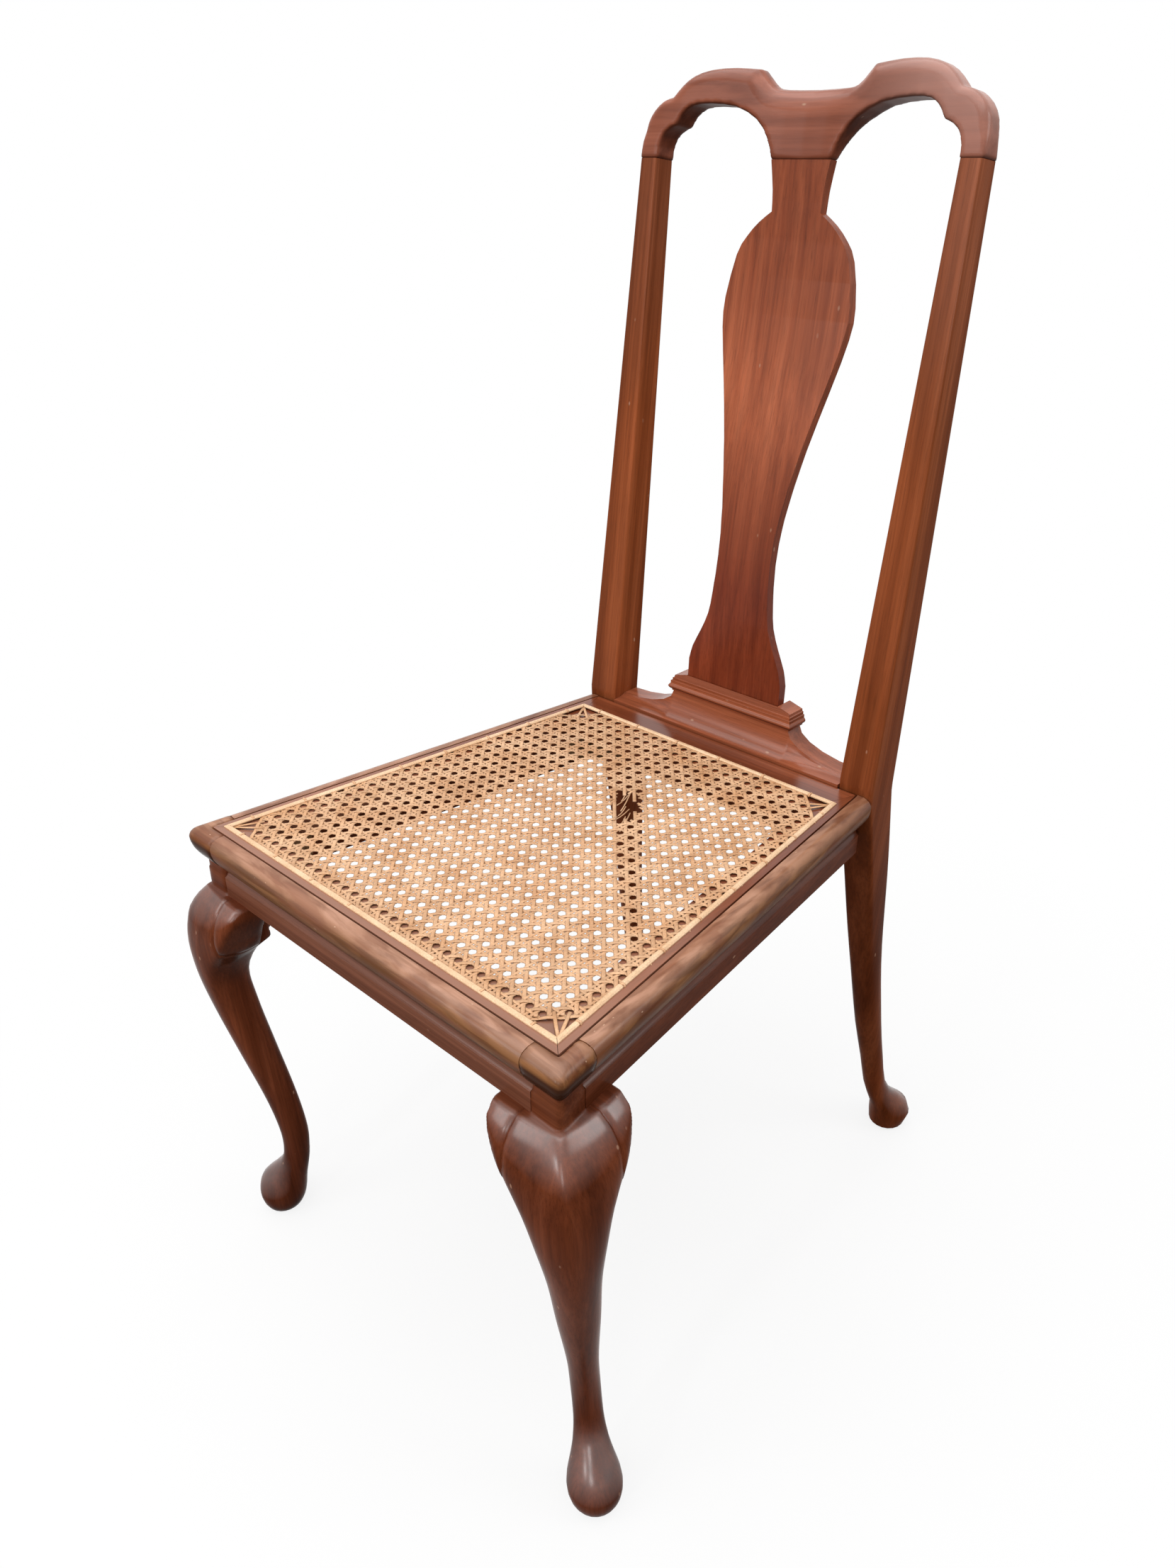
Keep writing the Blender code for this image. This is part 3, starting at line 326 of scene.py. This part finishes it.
def level_share(tree, low, high):
    """Rises from 0 to 1 between two levels, counted up from the seat plane."""
    level = node(tree, "ShaderNodeVectorMath", operation="DOT_PRODUCT")
    link(tree, chair_place(tree), level.inputs[0])
    level.inputs[1].default_value = SEAT_NORMAL
    seat_level = SEAT_ORIGIN.dot(SEAT_NORMAL)
    return graded(tree, level.outputs["Value"], seat_level + low, seat_level + high)


def toned(tree, colour, levels, below, above):
    """Tones a colour or a share one way below a pair of levels and another way above it."""
    return times(tree, colour, mix(tree, level_share(tree, *levels), below, above))


def facing_up(tree, low, high, least=0.0, most=1.0):
    """Rises from least to most as a surface turns up from one slope to another."""
    normal = node(tree, "ShaderNodeNewGeometry").outputs["Normal"]
    return graded(tree, coordinate(tree, normal, "Z"), low, high, least, most)


def grain(tree, along, stretch, lean=0.0):
    """Texture place, turned back by a lean and then drawn out along one axis."""
    mapping = node(tree, "ShaderNodeMapping", vector_type="TEXTURE")
    mapping.inputs["Rotation"].default_value = (-lean, 0, 0)
    mapping.inputs["Scale"].default_value = [stretch if axis == along else 1.0 for axis in "XYZ"]
    link(tree, chair_place(tree), mapping.inputs["Vector"])
    return mapping.outputs["Vector"]


def noise(tree, vector, scale, detail, distortion=0.0):
    """Cloudy pattern between 0 and 1."""
    made = node(tree, "ShaderNodeTexNoise", Scale=scale, Detail=detail, Distortion=distortion)
    link(tree, vector, made.inputs["Vector"])
    return made.outputs["Fac"]


def nicks(tree, along, scale, share):
    """Small scattered dents, in a share of the cells of a net."""
    cells = node(tree, "ShaderNodeTexVoronoi", Scale=scale, Randomness=1.0)
    link(tree, grain(tree, along, NICK_STRETCH), cells.inputs["Vector"])
    spots = ramp(tree, cells.outputs["Distance"], (0.045, 1.0), (0.09, 0.0))
    parts = node(tree, "ShaderNodeSeparateColor")
    link(tree, cells.outputs["Color"], parts.inputs["Color"])
    return times(tree, spots, ramp(tree, parts.outputs["Red"], (1 - share, 0.0), (1 - share / 2, 0.9)))


def figured(tree, along, tones, stripe_scale=STRIPE_SCALE, fibre_shade=0.80, lean=0.0):
    """Wood colour: stripes, fine fibres and dark pores along the grain, and broad patches of tone."""
    dark, middle, light = tones
    striped = grain(tree, along, STRIPE_STRETCH, lean)
    stripes = noise(tree, striped, stripe_scale, detail=4.0, distortion=0.2)
    fibres = noise(tree, grain(tree, along, FIBRE_STRETCH, lean), FIBRE_SCALE, detail=3.0)
    pores = noise(tree, grain(tree, along, PORE_STRETCH, lean), PORE_SCALE, detail=1.0)
    patches = noise(tree, grain(tree, along, PATCH_STRETCH, lean), PATCH_SCALE, detail=2.0)
    colour = times(
        tree,
        ramp(tree, stripes, (0.36, dark), (0.50, middle), (0.64, light)),
        ramp(tree, fibres, (0.34, fibre_shade), (0.64, 1.05)),
        ramp(tree, pores, (0.58, 1.0), (0.68, fibre_shade)),
        ramp(tree, patches, (0.32, 0.84), (0.68, 1.10)),
    )
    return colour, fibres, patches


def new_material(name):
    """A material, its node tree and its main shader."""
    material = bpy.data.materials.new(name)
    material.use_nodes = True
    tree = material.node_tree
    return material, tree, tree.nodes["Principled BSDF"]


def raise_fibres(tree, shader, fibres, strength, depth):
    """Roughens a surface along its fibres."""
    bump = node(tree, "ShaderNodeBump", Strength=strength, Distance=depth)
    link(tree, fibres, bump.inputs["Height"])
    link(tree, bump.outputs["Normal"], shader.inputs["Normal"])


def on_top(low, high, most):
    """Polish that lies on faces turned up far enough, as a function of a node tree."""
    return lambda tree: facing_up(tree, low, high, 0.0, most)


def polished(name, colour_of, along, polish_of, roughness, coat_roughness=0.22, coat_ior=1.5):
    """Wood finish with painted shade on faces turned down, whose colour and polish come from functions of
    its node tree.
    """
    material, tree, shader = new_material(name)
    colour, fibres, patches = colour_of(tree)
    # Painted shade: faces turned down are darkened
    colour = times(tree, colour, facing_up(tree, -0.6, -0.1, PAINTED_UNDERSIDE_SHADE, 1.0))
    colour = mix(tree, nicks(tree, along, NICK_SCALE, NICK_SHARE), colour, NICK)
    link(tree, colour, shader.inputs["Base Color"])
    rough = ramp(tree, patches, (0.30, roughness - 0.06), (0.70, roughness + 0.08))
    link(tree, rough, shader.inputs["Roughness"])
    link(tree, polish_of(tree), shader.inputs["Coat Weight"])
    shader.inputs["Specular IOR Level"].default_value = WOOD_SPECULAR
    shader.inputs["Coat Roughness"].default_value = coat_roughness
    shader.inputs["Coat IOR"].default_value = coat_ior
    raise_fibres(tree, shader, fibres, strength=0.15, depth=0.0003)
    return material


def wood(name, along, tones, polish, roughness):
    """Plain wood, polished on top."""
    return polished(name, lambda tree: figured(tree, along, tones), along, on_top(*polish), roughness)


def back_finish(name, stripe_scale, levels, painted_low_shade, painted_top_shading, polish, roughness):
    """Wood of the leaning back: painted shade below a pair of levels, and painted shading again near the
    top.
    """
    def colour_of(tree):
        colour, fibres, patches = figured(
            tree, "Z", TONES[name], stripe_scale, fibre_shade=0.82, lean=BACK_LEAN)
        colour = toned(tree, colour, levels, painted_low_shade, UNCHANGED)
        return toned(tree, colour, BACK_TOP_LEVELS, UNCHANGED, painted_top_shading), fibres, patches

    return polished(name, colour_of, "Z", on_top(*polish), roughness)


def crest_finish(name, stripe_scale, polish, roughness):
    """Crest rail: fine straight grain, with a painted pale sheen on its right arm."""
    def colour_of(tree):
        colour, fibres, patches = figured(tree, "X", TONES[name], stripe_scale, fibre_shade=0.93)
        # Painted sheen: a pale pink laid over the right arm, strongest towards its top
        across = along_axis(tree, "X", *PAINTED_SHEEN_X, 0.0, PAINTED_SHEEN_SHARE)
        upward = along_axis(tree, "Z", *PAINTED_SHEEN_Z, 0.15, 1.0)
        return mix(tree, times(tree, across, upward), colour, PAINTED_SHEEN), fibres, patches

    return polished(name, colour_of, "X", on_top(*polish), roughness)


def nosing_wear_and_sheen(tree, along, colour, most):
    """Nosing round the seat: streaked golden brown, paled by wear and a painted sheen to a pinkish tan on
    top towards the front.
    """
    streaks = noise(tree, grain(tree, along, STREAK_STRETCH), STREAK_SCALE, detail=5.0, distortion=0.4)
    blotches = noise(tree, grain(tree, along, BLOTCH_STRETCH), BLOTCH_SCALE, detail=6.0, distortion=0.3)
    golden = times(
        tree,
        level_share(tree, *GOLDEN_LEVELS),
        along_axis(tree, "Y", *GOLDEN_FADE_Y, 1.0, GOLDEN_REAR_SHARE),
        ramp(tree, blotches, (0.40, 0.35), (0.56, 1.0)),
    )
    gold = mix(tree, ramp(tree, streaks, (0.42, 0.0), (0.58, 1.0)), GOLDEN_DARK, GOLDEN)
    colour = mix(tree, golden, colour, gold)
    # Wear and painted sheen: faces turned up towards the front are paled to a pinkish tan
    rubbed_and_sheen = times(
        tree,
        facing_up(tree, 0.45, 0.98),
        ramp(tree, blotches, (0.42, 0.40), (0.56, 1.0)),
        ramp(tree, streaks, (0.42, 0.55), (0.56, 1.0)),
        along_axis(tree, "Y", *RUBBED_AND_SHEEN_FADE_Y, most, RUBBED_AND_SHEEN_REAR_SHARE * most),
        level_share(tree, *RUBBED_AND_SHEEN_LEVELS),
    )
    colour = mix(tree, rubbed_and_sheen, colour, RUBBED_AND_SHEEN)
    scuffs = nicks(tree, along, SCUFF_SCALE, SCUFF_SHARE)
    return mix(tree, times(tree, scuffs, level_share(tree, *SCUFF_LEVELS)), colour, SCUFF)


def rail_finish(name, along, polish, roughness):
    """Seat rail: red-brown below, with a nosing that shows wear and a painted sheen."""
    def colour_of(tree):
        colour, fibres, patches = figured(tree, along, TONES[name])
        return nosing_wear_and_sheen(tree, along, colour, 1.0), fibres, patches

    return polished(name, colour_of, along, on_top(*polish), roughness)


def seat_finish(name, along, polish, roughness):
    """Member of the drop-in seat: paler towards the front, where the nosing's pinkish tan paints a sheen.
    """
    def colour_of(tree):
        colour, fibres, patches = figured(tree, along, TONES["seat"])
        # Painted sheen: the seat frame is paled towards the front
        rubbed_and_sheen = along_axis(tree, "Y", *SEAT_FADE_Y, SEAT_SHEEN_SHARE, 0.0)
        return mix(tree, rubbed_and_sheen, colour, RUBBED_AND_SHEEN), fibres, patches

    return polished(name, colour_of, along, on_top(*polish), roughness)


def front_leg_finish(name, roughness):
    """Front leg: dark, darker at the foot, and like the rails where its stump shows between them."""
    def colour_of(tree):
        colour, fibres, patches = figured(tree, "Z", TONES["dark"])
        colour = toned(tree, colour, FOOT_LEVELS, FOOT_SHADE, UNCHANGED)
        plain, _, _ = figured(tree, "X", TONES["side_rail"])
        stump = mix(tree, level_share(tree, *STUMP_STAIN_LEVELS), plain, STUMP_STAIN)
        # The stump's top takes the nosing's wear and painted sheen
        worn_and_sheen = nosing_wear_and_sheen(tree, "X", plain, STUMP_RUBBED_AND_SHEEN_SHARE)
        stump = mix(tree, level_share(tree, *STUMP_WEAR_AND_SHEEN_LEVELS), stump, worn_and_sheen)
        return mix(tree, level_share(tree, *STUMP_FOOT_LEVELS), colour, stump), fibres, patches

    def polish_of(tree):
        foot = facing_up(tree, 0.1, 0.6)
        knee = facing_up(tree, 0.30, 0.78)
        polish = mix(tree, level_share(tree, *FOOT_POLISH_LEVELS), foot, knee)
        return toned(tree, polish, STUMP_FOOT_LEVELS, UNCHANGED, STUMP_DULL)

    return polished(name, colour_of, "Z", polish_of, roughness, coat_roughness=0.30, coat_ior=1.85)


def cane_finish(name, shade, bright, roughness):
    """Split rattan: golden with paler and browner strands and fine fibres."""
    material, tree, shader = new_material(name)
    broad = noise(tree, chair_place(tree), CANE_PATCH_SCALE, detail=4.0)
    fine = noise(tree, chair_place(tree), CANE_FIBRE_SCALE, detail=2.0)
    tone = node(tree, "ShaderNodeAttribute", attribute_name="tone")
    colour = times(
        tree,
        ramp(tree, broad, (0.32, shade), (0.66, bright)),
        ramp(tree, tone.outputs["Fac"], (0.0, 1.0), (1.0, 0.80)),
        ramp(tree, fine, (0.3, 0.80), (0.7, 1.08)),
    )
    link(tree, colour, shader.inputs["Base Color"])
    rough = ramp(tree, fine, (0.3, roughness - 0.05), (0.7, roughness + 0.08))
    link(tree, rough, shader.inputs["Roughness"])
    raise_fibres(tree, shader, fine, strength=0.2, depth=0.0002)
    return material


def geometry_group(name):
    """An empty group of geometry nodes, its start and its end."""
    group = bpy.data.node_groups.new(name, "GeometryNodeTree")
    group.interface.new_socket("Geometry", in_out="INPUT", socket_type="NodeSocketGeometry")
    group.interface.new_socket("Geometry", in_out="OUTPUT", socket_type="NodeSocketGeometry")
    return group, node(group, "NodeGroupInput").outputs[0], node(group, "NodeGroupOutput").inputs[0]


def soft_edge_group(name):
    """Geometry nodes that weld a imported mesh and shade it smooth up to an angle."""
    group, start, end = geometry_group(name)
    weld = node(group, "GeometryNodeMergeByDistance", Distance=WELD_DISTANCE)
    faces = node(group, "GeometryNodeSetShadeSmooth")
    angle = node(group, "GeometryNodeInputMeshEdgeAngle")
    sharp = node(group, "FunctionNodeCompare", operation="GREATER_THAN")
    sharp.inputs[1].default_value = SHARP_ANGLE
    edges = node(group, "GeometryNodeSetShadeSmooth", domain="EDGE")
    edges.inputs["Shade Smooth"].default_value = False
    link(group, start, weld.inputs["Geometry"])
    link(group, weld.outputs["Geometry"], faces.inputs["Geometry"])
    link(group, faces.outputs["Geometry"], edges.inputs["Geometry"])
    link(group, angle.outputs["Unsigned Angle"], sharp.inputs[0])
    link(group, sharp.outputs["Result"], edges.inputs["Selection"])
    link(group, edges.outputs["Geometry"], end)
    return group


def soft_normal_group(name, blurs):
    """Geometry nodes that blur a mesh's normals, so that sheen runs smoothly over the carving."""
    group, start, end = geometry_group(name)
    normal = node(group, "GeometryNodeInputNormal")
    height = coordinate(group, node(group, "GeometryNodeInputPosition").outputs["Position"], "Z")
    blur = node(group, "GeometryNodeBlurAttribute", data_type="FLOAT_VECTOR", Iterations=blurs)
    link(group, normal.outputs["Normal"], blur.inputs["Value"])
    link(group, graded(group, height, *KNEE_Z, 1.0, ABOVE_KNEE_SHARE), blur.inputs["Weight"])
    shading = node(group, "GeometryNodeSetMeshNormal", mode="FREE", domain="POINT")
    link(group, start, shading.inputs["Mesh"])
    link(group, blur.outputs["Value"], shading.inputs["Custom Normal"])
    link(group, shading.outputs["Mesh"], end)
    return group


def dress(item, finish, edges):
    """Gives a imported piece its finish, and smooth shading between its sharp edges."""
    item.data.materials.clear()
    item.data.materials.append(finish)
    soft = item.modifiers.new("soft_edges", "NODES")
    soft.node_group = edges


def even_out(item):
    """Lets the larger faces of a piece lead its normals."""
    even = item.modifiers.new("even_normals", "WEIGHTED_NORMAL")
    even.keep_sharp = True


def ease(item, normals, swell):
    """Rounds and softens the facets of a carved piece, and swells it to close its joints again."""
    fine = item.modifiers.new("fine_surface", "REMESH")
    fine.mode = "VOXEL"
    fine.voxel_size = CARVING_VOXEL
    fine.use_smooth_shade = True
    eased = item.modifiers.new("eased", "SMOOTH")
    eased.factor = SMOOTHING_SHARE
    eased.iterations = SMOOTHING_ROUNDS
    tight = item.modifiers.new("tight_joints", "DISPLACE")
    tight.strength = swell
    tight.mid_level = 0.0
    soft = item.modifiers.new("soft_normals", "NODES")
    soft.node_group = normals


def seat_point(x, y, z):
    """Point of the seat plane's frame in the frame of the chair."""
    turned = Matrix.Rotation(-SEAT_SLOPE, 3, "X") @ Vector((x, y, z))
    return SEAT_ORIGIN + turned


def half_width(y):
    """Half the width of the cane bed at a distance from the seat's front edge."""
    share = (y - BED_FRONT) / (BED_REAR - BED_FRONT)
    return BED_HALF_FRONT + (BED_HALF_REAR - BED_HALF_FRONT) * share


def in_weave(spot):
    """Whether a strand may run here: inside the bed and outside its open corners."""
    if not BED_FRONT < spot.y < BED_REAR or abs(spot.x) > half_width(spot.y):
        return False
    in_front = spot.y < (BED_FRONT + BED_REAR) / 2
    edge = BED_FRONT if in_front else BED_REAR
    steps = (half_width(edge) - abs(spot.x)) / COLUMN_PITCH + abs(spot.y - edge) / ROW_PITCH
    return steps > (FRONT_OPEN_STEPS if in_front else REAR_OPEN_STEPS)


def in_tear(spot, looser):
    """Whether a spot lies in the torn oval, made wider or narrower by a share."""
    offset = spot - TEAR_CENTRE
    along = offset.dot(TEAR_ALONG) / TEAR_HALF_LENGTH
    across = offset.dot(Vector((-TEAR_ALONG.y, TEAR_ALONG.x))) / TEAR_HALF_WIDTH
    return along * along + across * across < 1 + looser


def ribbon(work, path, width, tone=0.0):
    """A flat strand with a domed top along a path of points in the seat's frame; tone darkens it."""
    half = width / 2
    dome = half * DOME_WIDTH_SHARE
    top = STRAND_THICK * DOME_HEIGHT_SHARE
    section = ((-half, 0), (-dome, top), (dome, top), (half, 0), (0, -STRAND_THICK * BELLY_SHARE))
    shade = work.verts.layers.float["tone"]
    rings = []
    for k, spot in enumerate(path):
        ahead = path[min(k + 1, len(path) - 1)] - path[max(k - 1, 0)]
        side = Vector((-ahead.y, ahead.x, 0)).normalized()
        ring = []
        for across, up in section:
            corner = work.verts.new(seat_point(*(spot + across * side + Vector((0, 0, up)))))
            corner[shade] = tone
            ring.append(corner)
        rings.append(ring)
    count = len(section)
    for near, far in zip(rings, rings[1:]):
        for k in range(count):
            following = (k + 1) % count
            work.faces.new((near[k], far[k], far[following], near[following]))
    work.faces.new(rings[0])
    work.faces.new(reversed(rings[-1]))


def strand(work, start, end, width, height, step, tone, tear):
    """Lays one strand from edge to edge, broken in the torn spot; tear says how far back it breaks."""
    count = max(2, round((end - start).length / step))
    runs = [[]]
    for k in range(count + 1):
        spot = start.lerp(end, k / count)
        if in_weave(spot) and not in_tear(spot, tear):
            runs[-1].append(Vector((spot.x, spot.y, WEAVE_LEVEL + height(spot))))
        else:
            runs.append([])
    for run in runs:
        if len(run) > 2:
            ribbon(work, run, width, tone)


def columns(work, rng):
    """Pairs of strands front to back."""
    turn = 2 * math.pi / ROW_PITCH
    for column in COLUMNS:
        for half in (-1, 1):
            x = (column + 0.5) * COLUMN_PITCH + half * COLUMN_HALF_GAP + rng.uniform(-STRAY, STRAY)

            def height(spot, half=half):
                return 0.5 * OVER * half * math.sin(turn * (spot.y - FIRST_ROW - ROW_PITCH / 2))

            start = Vector((x, 0))
            end = Vector((x, COLUMN_REACH))
            tear = rng.uniform(*COLUMN_BREAK)
            strand(work, start, end, STRAND_WIDTH, height, ROW_PITCH / PAIR_STEPS, rng.random(), tear)


def rows(work, rng):
    """Pairs of strands side to side."""
    turn = 2 * math.pi / COLUMN_PITCH
    for row in ROWS:
        for half in (-1, 1):
            y = FIRST_ROW + (row + 0.5) * ROW_PITCH + half * ROW_HALF_GAP + rng.uniform(-STRAY, STRAY)

            def height(spot, half=half):
                return -0.5 * OVER * half * math.sin(turn * (spot.x - COLUMN_PITCH / 2))

            start = Vector((-ROW_REACH, y))
            end = Vector((ROW_REACH, y))
            tear = rng.uniform(*ROW_BREAK)
            strand(work, start, end, STRAND_WIDTH, height, COLUMN_PITCH / PAIR_STEPS, rng.random(), tear)


def diagonals(work, rng):
    """Single strands both ways across the pairs."""
    turn = 2 * math.pi / COLUMN_PITCH
    rise = DIAGONAL_REACH * ROW_PITCH / COLUMN_PITCH
    for way in (-1, 1):
        for k in DIAGONALS:
            middle = FIRST_ROW + (k + 0.5) * ROW_PITCH + rng.uniform(-STRAY, STRAY)

            def height(spot, way=way):
                return -way * OVER * math.cos(turn * spot.x) + DIAGONAL_LIFT

            start = Vector((-DIAGONAL_REACH, middle - way * rise))
            end = Vector((DIAGONAL_REACH, middle + way * rise))
            tear = rng.uniform(*DIAGONAL_BREAKS[way])
            step = COLUMN_PITCH / DIAGONAL_STEPS
            strand(work, start, end, DIAGONAL_WIDTH, height, step, rng.random(), tear)


def split_strands(work, rng):
    """Thin split strands that still hang across the torn spot."""
    for k in range(SPLIT_COUNT):
        middle = TEAR_CENTRE + TEAR_ALONG * TEAR_HALF_LENGTH * (SPLIT_FIRST + k * SPLIT_STEP)
        lean = Vector((rng.uniform(*SPLIT_LEAN), 1)).normalized()
        near = middle - lean * SPLIT_REACH
        far = middle + lean * rng.choice(SPLIT_ENDS)
        path = []
        for share in (0, 0.33, 0.67, 1):
            spot = near.lerp(far, share)
            path.append(Vector((spot.x, spot.y, WEAVE_LEVEL - SPLIT_SAG * math.sin(math.pi * share))))
        ribbon(work, path, SPLIT_WIDTH, SPLIT_TONE)


def corner_fans(work):
    """Two strands from each corner hole to the edge of the weave."""
    for side in (-1, 1):
        for edge, inward in ((BED_FRONT, 1), (BED_REAR, -1)):
            corner = half_width(edge)
            start = Vector((side * (corner - CORNER_HOLE), edge + inward * CORNER_HOLE, WEAVE_LEVEL))
            for across, deep in FAN_ENDS:
                end = Vector((side * (corner - across), edge + inward * deep, WEAVE_LEVEL + OVER))
                ribbon(work, [start, start.lerp(end, 0.5), end], STRAND_WIDTH)


def stitches(work):
    """Loops of thin cane that hold the binder down, at about every fourth hole."""
    corners = [
        Vector((-BED_HALF_FRONT, BED_FRONT)),
        Vector((BED_HALF_FRONT, BED_FRONT)),
        Vector((BED_HALF_REAR, BED_REAR)),
        Vector((-BED_HALF_REAR, BED_REAR)),
    ]
    for start, end in zip(corners, corners[1:] + corners[:1]):
        run = (end - start).normalized()
        inward = Vector((-run.y, run.x))
        count = round((end - start).length / STITCH_PITCH)
        for k in range(count):
            spot = start.lerp(end, (k + 0.5) / count)
            path = []
            for share, level in STITCH_LOOP:
                place = spot + share * BINDER_WIDTH * inward
                path.append(Vector((place.x, place.y, level)))
            ribbon(work, path, STITCH_WIDTH)


def add_object(name, data):
    """Puts an object into the scene."""
    item = bpy.data.objects.new(name, data)
    scene.collection.objects.link(item)
    return item


def add_mesh(name, work, finish):
    """Turns a worked mesh into an object with a finish."""
    mesh = bpy.data.meshes.new(name)
    work.to_mesh(mesh)
    work.free()
    mesh.materials.append(finish)
    return add_object(name, mesh)


def woven_cane(finish):
    """Six-way cane over the drop-in seat, with fanned corners, binder stitches and a torn spot."""
    rng = random.Random(WEAVE_SEED)
    work = bmesh.new()
    work.verts.layers.float.new("tone")
    columns(work, rng)
    rows(work, rng)
    diagonals(work, rng)
    split_strands(work, rng)
    corner_fans(work)
    stitches(work)
    bmesh.ops.recalc_face_normals(work, faces=work.faces)
    item = add_mesh("woven_cane", work, finish)
    item.data.shade_smooth()
    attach(item, "seat")
    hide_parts("cane_panel")


def camera():
    """Camera at the photograph's angle."""
    lens = bpy.data.cameras.new("camera")
    lens.sensor_width = SENSOR_WIDTH
    lens.lens = FOCAL_LENGTH
    item = add_object("camera", lens)
    up = CAMERA_RIGHT.cross(CAMERA_FORWARD)
    turn = Matrix((CAMERA_RIGHT, up, -CAMERA_FORWARD)).transposed()
    item.matrix_world = Matrix.Translation(CAMERA_PLACE) @ turn.to_4x4()
    scene.camera = item


def area_light(name, place, target, size, power):
    """Round lamp at a place, turned to a target."""
    lamp = bpy.data.lights.new(name, "AREA")
    lamp.shape = "DISK"
    lamp.size = size
    lamp.energy = power
    item = add_object(name, lamp)
    item.location = place
    item.rotation_euler = (Vector(target) - Vector(place)).to_track_quat("-Z", "Y").to_euler()


def seen_directly(tree):
    """1 for rays from the camera, from gloss or through glass, and 0 for light that bounces about."""
    path = node(tree, "ShaderNodeLightPath")
    total = path.outputs["Is Camera Ray"]
    for name in ("Is Glossy Ray", "Is Transmission Ray"):
        larger = node(tree, "ShaderNodeMath", operation="MAXIMUM")
        link(tree, total, larger.inputs[0])
        link(tree, path.outputs[name], larger.inputs[1])
        total = larger.outputs[0]
    return total


def joined(tree, factor, first, second):
    """Blends two shaders by a factor."""
    made = node(tree, "ShaderNodeMixShader")
    link(tree, factor, made.inputs[0])
    link(tree, first, made.inputs[1])
    link(tree, second, made.inputs[2])
    return made.outputs[0]


def floor_paint():
    """White floor that keeps a light shadow near the chair and fades into the background further out."""
    paint, tree, shader = new_material("floor")
    tree.nodes.remove(shader)
    bounce = node(tree, "ShaderNodeBsdfDiffuse", Color=FLOOR_BOUNCE)
    pale = node(tree, "ShaderNodeBsdfDiffuse", Color=FLOOR_PALE)
    white = node(tree, "ShaderNodeEmission", Color=WHITE, Strength=1.0)
    far = node(tree, "ShaderNodeVectorMath", operation="LENGTH")
    link(tree, chair_place(tree), far.inputs[0])
    fade = ramp(tree, far.outputs["Value"], *FLOOR_FADE)
    seen = joined(tree, fade, pale.outputs[0], white.outputs[0])
    surface = joined(tree, seen_directly(tree), bounce.outputs[0], seen)
    link(tree, surface, tree.nodes["Material Output"].inputs["Surface"])
    return paint


def studio_floor():
    """Round floor under the chair."""
    work = bmesh.new()
    bmesh.ops.create_circle(work, cap_ends=True, segments=FLOOR_SIDES, radius=FLOOR_RADIUS)
    floor = add_mesh("floor", work, floor_paint())


def studio_sky():
    """Even light from all round; seen directly, the background is white."""
    world = bpy.data.worlds.new("sky")
    scene.world = world
    world.use_nodes = True
    tree = world.node_tree
    glow = tree.nodes["Background"]
    glow.inputs["Color"].default_value = WHITE
    glow.inputs["Strength"].default_value = SKY_STRENGTH
    white = node(tree, "ShaderNodeBackground", Color=WHITE, Strength=1.0)
    surface = joined(tree, seen_directly(tree), glow.outputs[0], white.outputs[0])
    link(tree, surface, tree.nodes["World Output"].inputs["Surface"])


# Finishes: polish is the slope where it begins, the slope where it is full, and its strength there
FINISHES = {
    "crest": crest_finish("crest", stripe_scale=90.0, polish=(-0.3, 0.5, 0.6), roughness=0.30),
    # Splat: painted shade at its foot and at its neck
    "splat": back_finish(
        "splat", stripe_scale=110.0, levels=(0.14, 0.29), painted_low_shade=(0.52, 0.36, 0.32),
        painted_top_shading=(0.68, 0.62, 0.58), polish=(-0.4, 0.2, 0.4), roughness=0.32),
    # Posts: painted shadow below the seat, and a painted pinkish sheen at the top
    "post": back_finish(
        "post", stripe_scale=60.0, levels=(-0.12, 0.06), painted_low_shade=(0.60, 0.56, 0.56),
        painted_top_shading=(1.06, 1.20, 1.60), polish=(0.1, 0.5, 0.8), roughness=0.30),
    "front_leg": front_leg_finish("front_leg", roughness=0.20),
    "front_rail": rail_finish("front_rail", "X", polish=(0.1, 0.5, 0.6), roughness=0.32),
    "side_rail": rail_finish("side_rail", "Y", polish=(0.1, 0.5, 0.6), roughness=0.32),
    "rear_rail": wood("rear_rail", "X", TONES["dark"], polish=(0.3, 0.7, 0.9), roughness=0.22),
    "shoe": wood("shoe", "X", TONES["mahogany"], polish=(0.1, 0.5, 0.8), roughness=0.26),
    "cap_return": wood("cap_return", "Y", TONES["mahogany"], polish=(0.1, 0.5, 0.8), roughness=0.26),
    "seat_across": seat_finish("seat_across", "X", polish=(0.1, 0.5, 1.0), roughness=0.18),
    "seat_side": seat_finish("seat_side", "Y", polish=(0.1, 0.5, 1.0), roughness=0.18),
    "block": wood("block", "Z", TONES["beech"], polish=(0.5, 1.0, 0.1), roughness=0.6),
    "binder": cane_finish("binder", shade=(0.76, 0.48, 0.27), bright=(0.90, 0.63, 0.40), roughness=0.40),
    "cane": cane_finish("cane", shade=(0.645, 0.335, 0.158), bright=(0.82, 0.50, 0.285), roughness=0.45),
}

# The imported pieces
smooth_edges = soft_edge_group("smooth_edges")
crest_normals = soft_normal_group("crest_normals", CREST_BLURS)
leg_normals = soft_normal_group("leg_normals", LEG_BLURS)
for finish, names in PIECES.items():
    for name in names:
        item = nodes[name]
        dress(item, FINISHES[finish], smooth_edges)
        if finish == "crest":
            ease(item, crest_normals, CARVING_SWELL)
        elif finish == "front_leg":
            ease(item, leg_normals, EAR_SWELL if name in EARS else CARVING_SWELL)
        else:
            even_out(item)

# The cane and the studio
woven_cane(FINISHES["cane"])
camera()
studio_floor()
studio_sky()
for name, lamp in LAMPS.items():
    area_light(name, *lamp)
scene.view_settings.view_transform = "Standard"
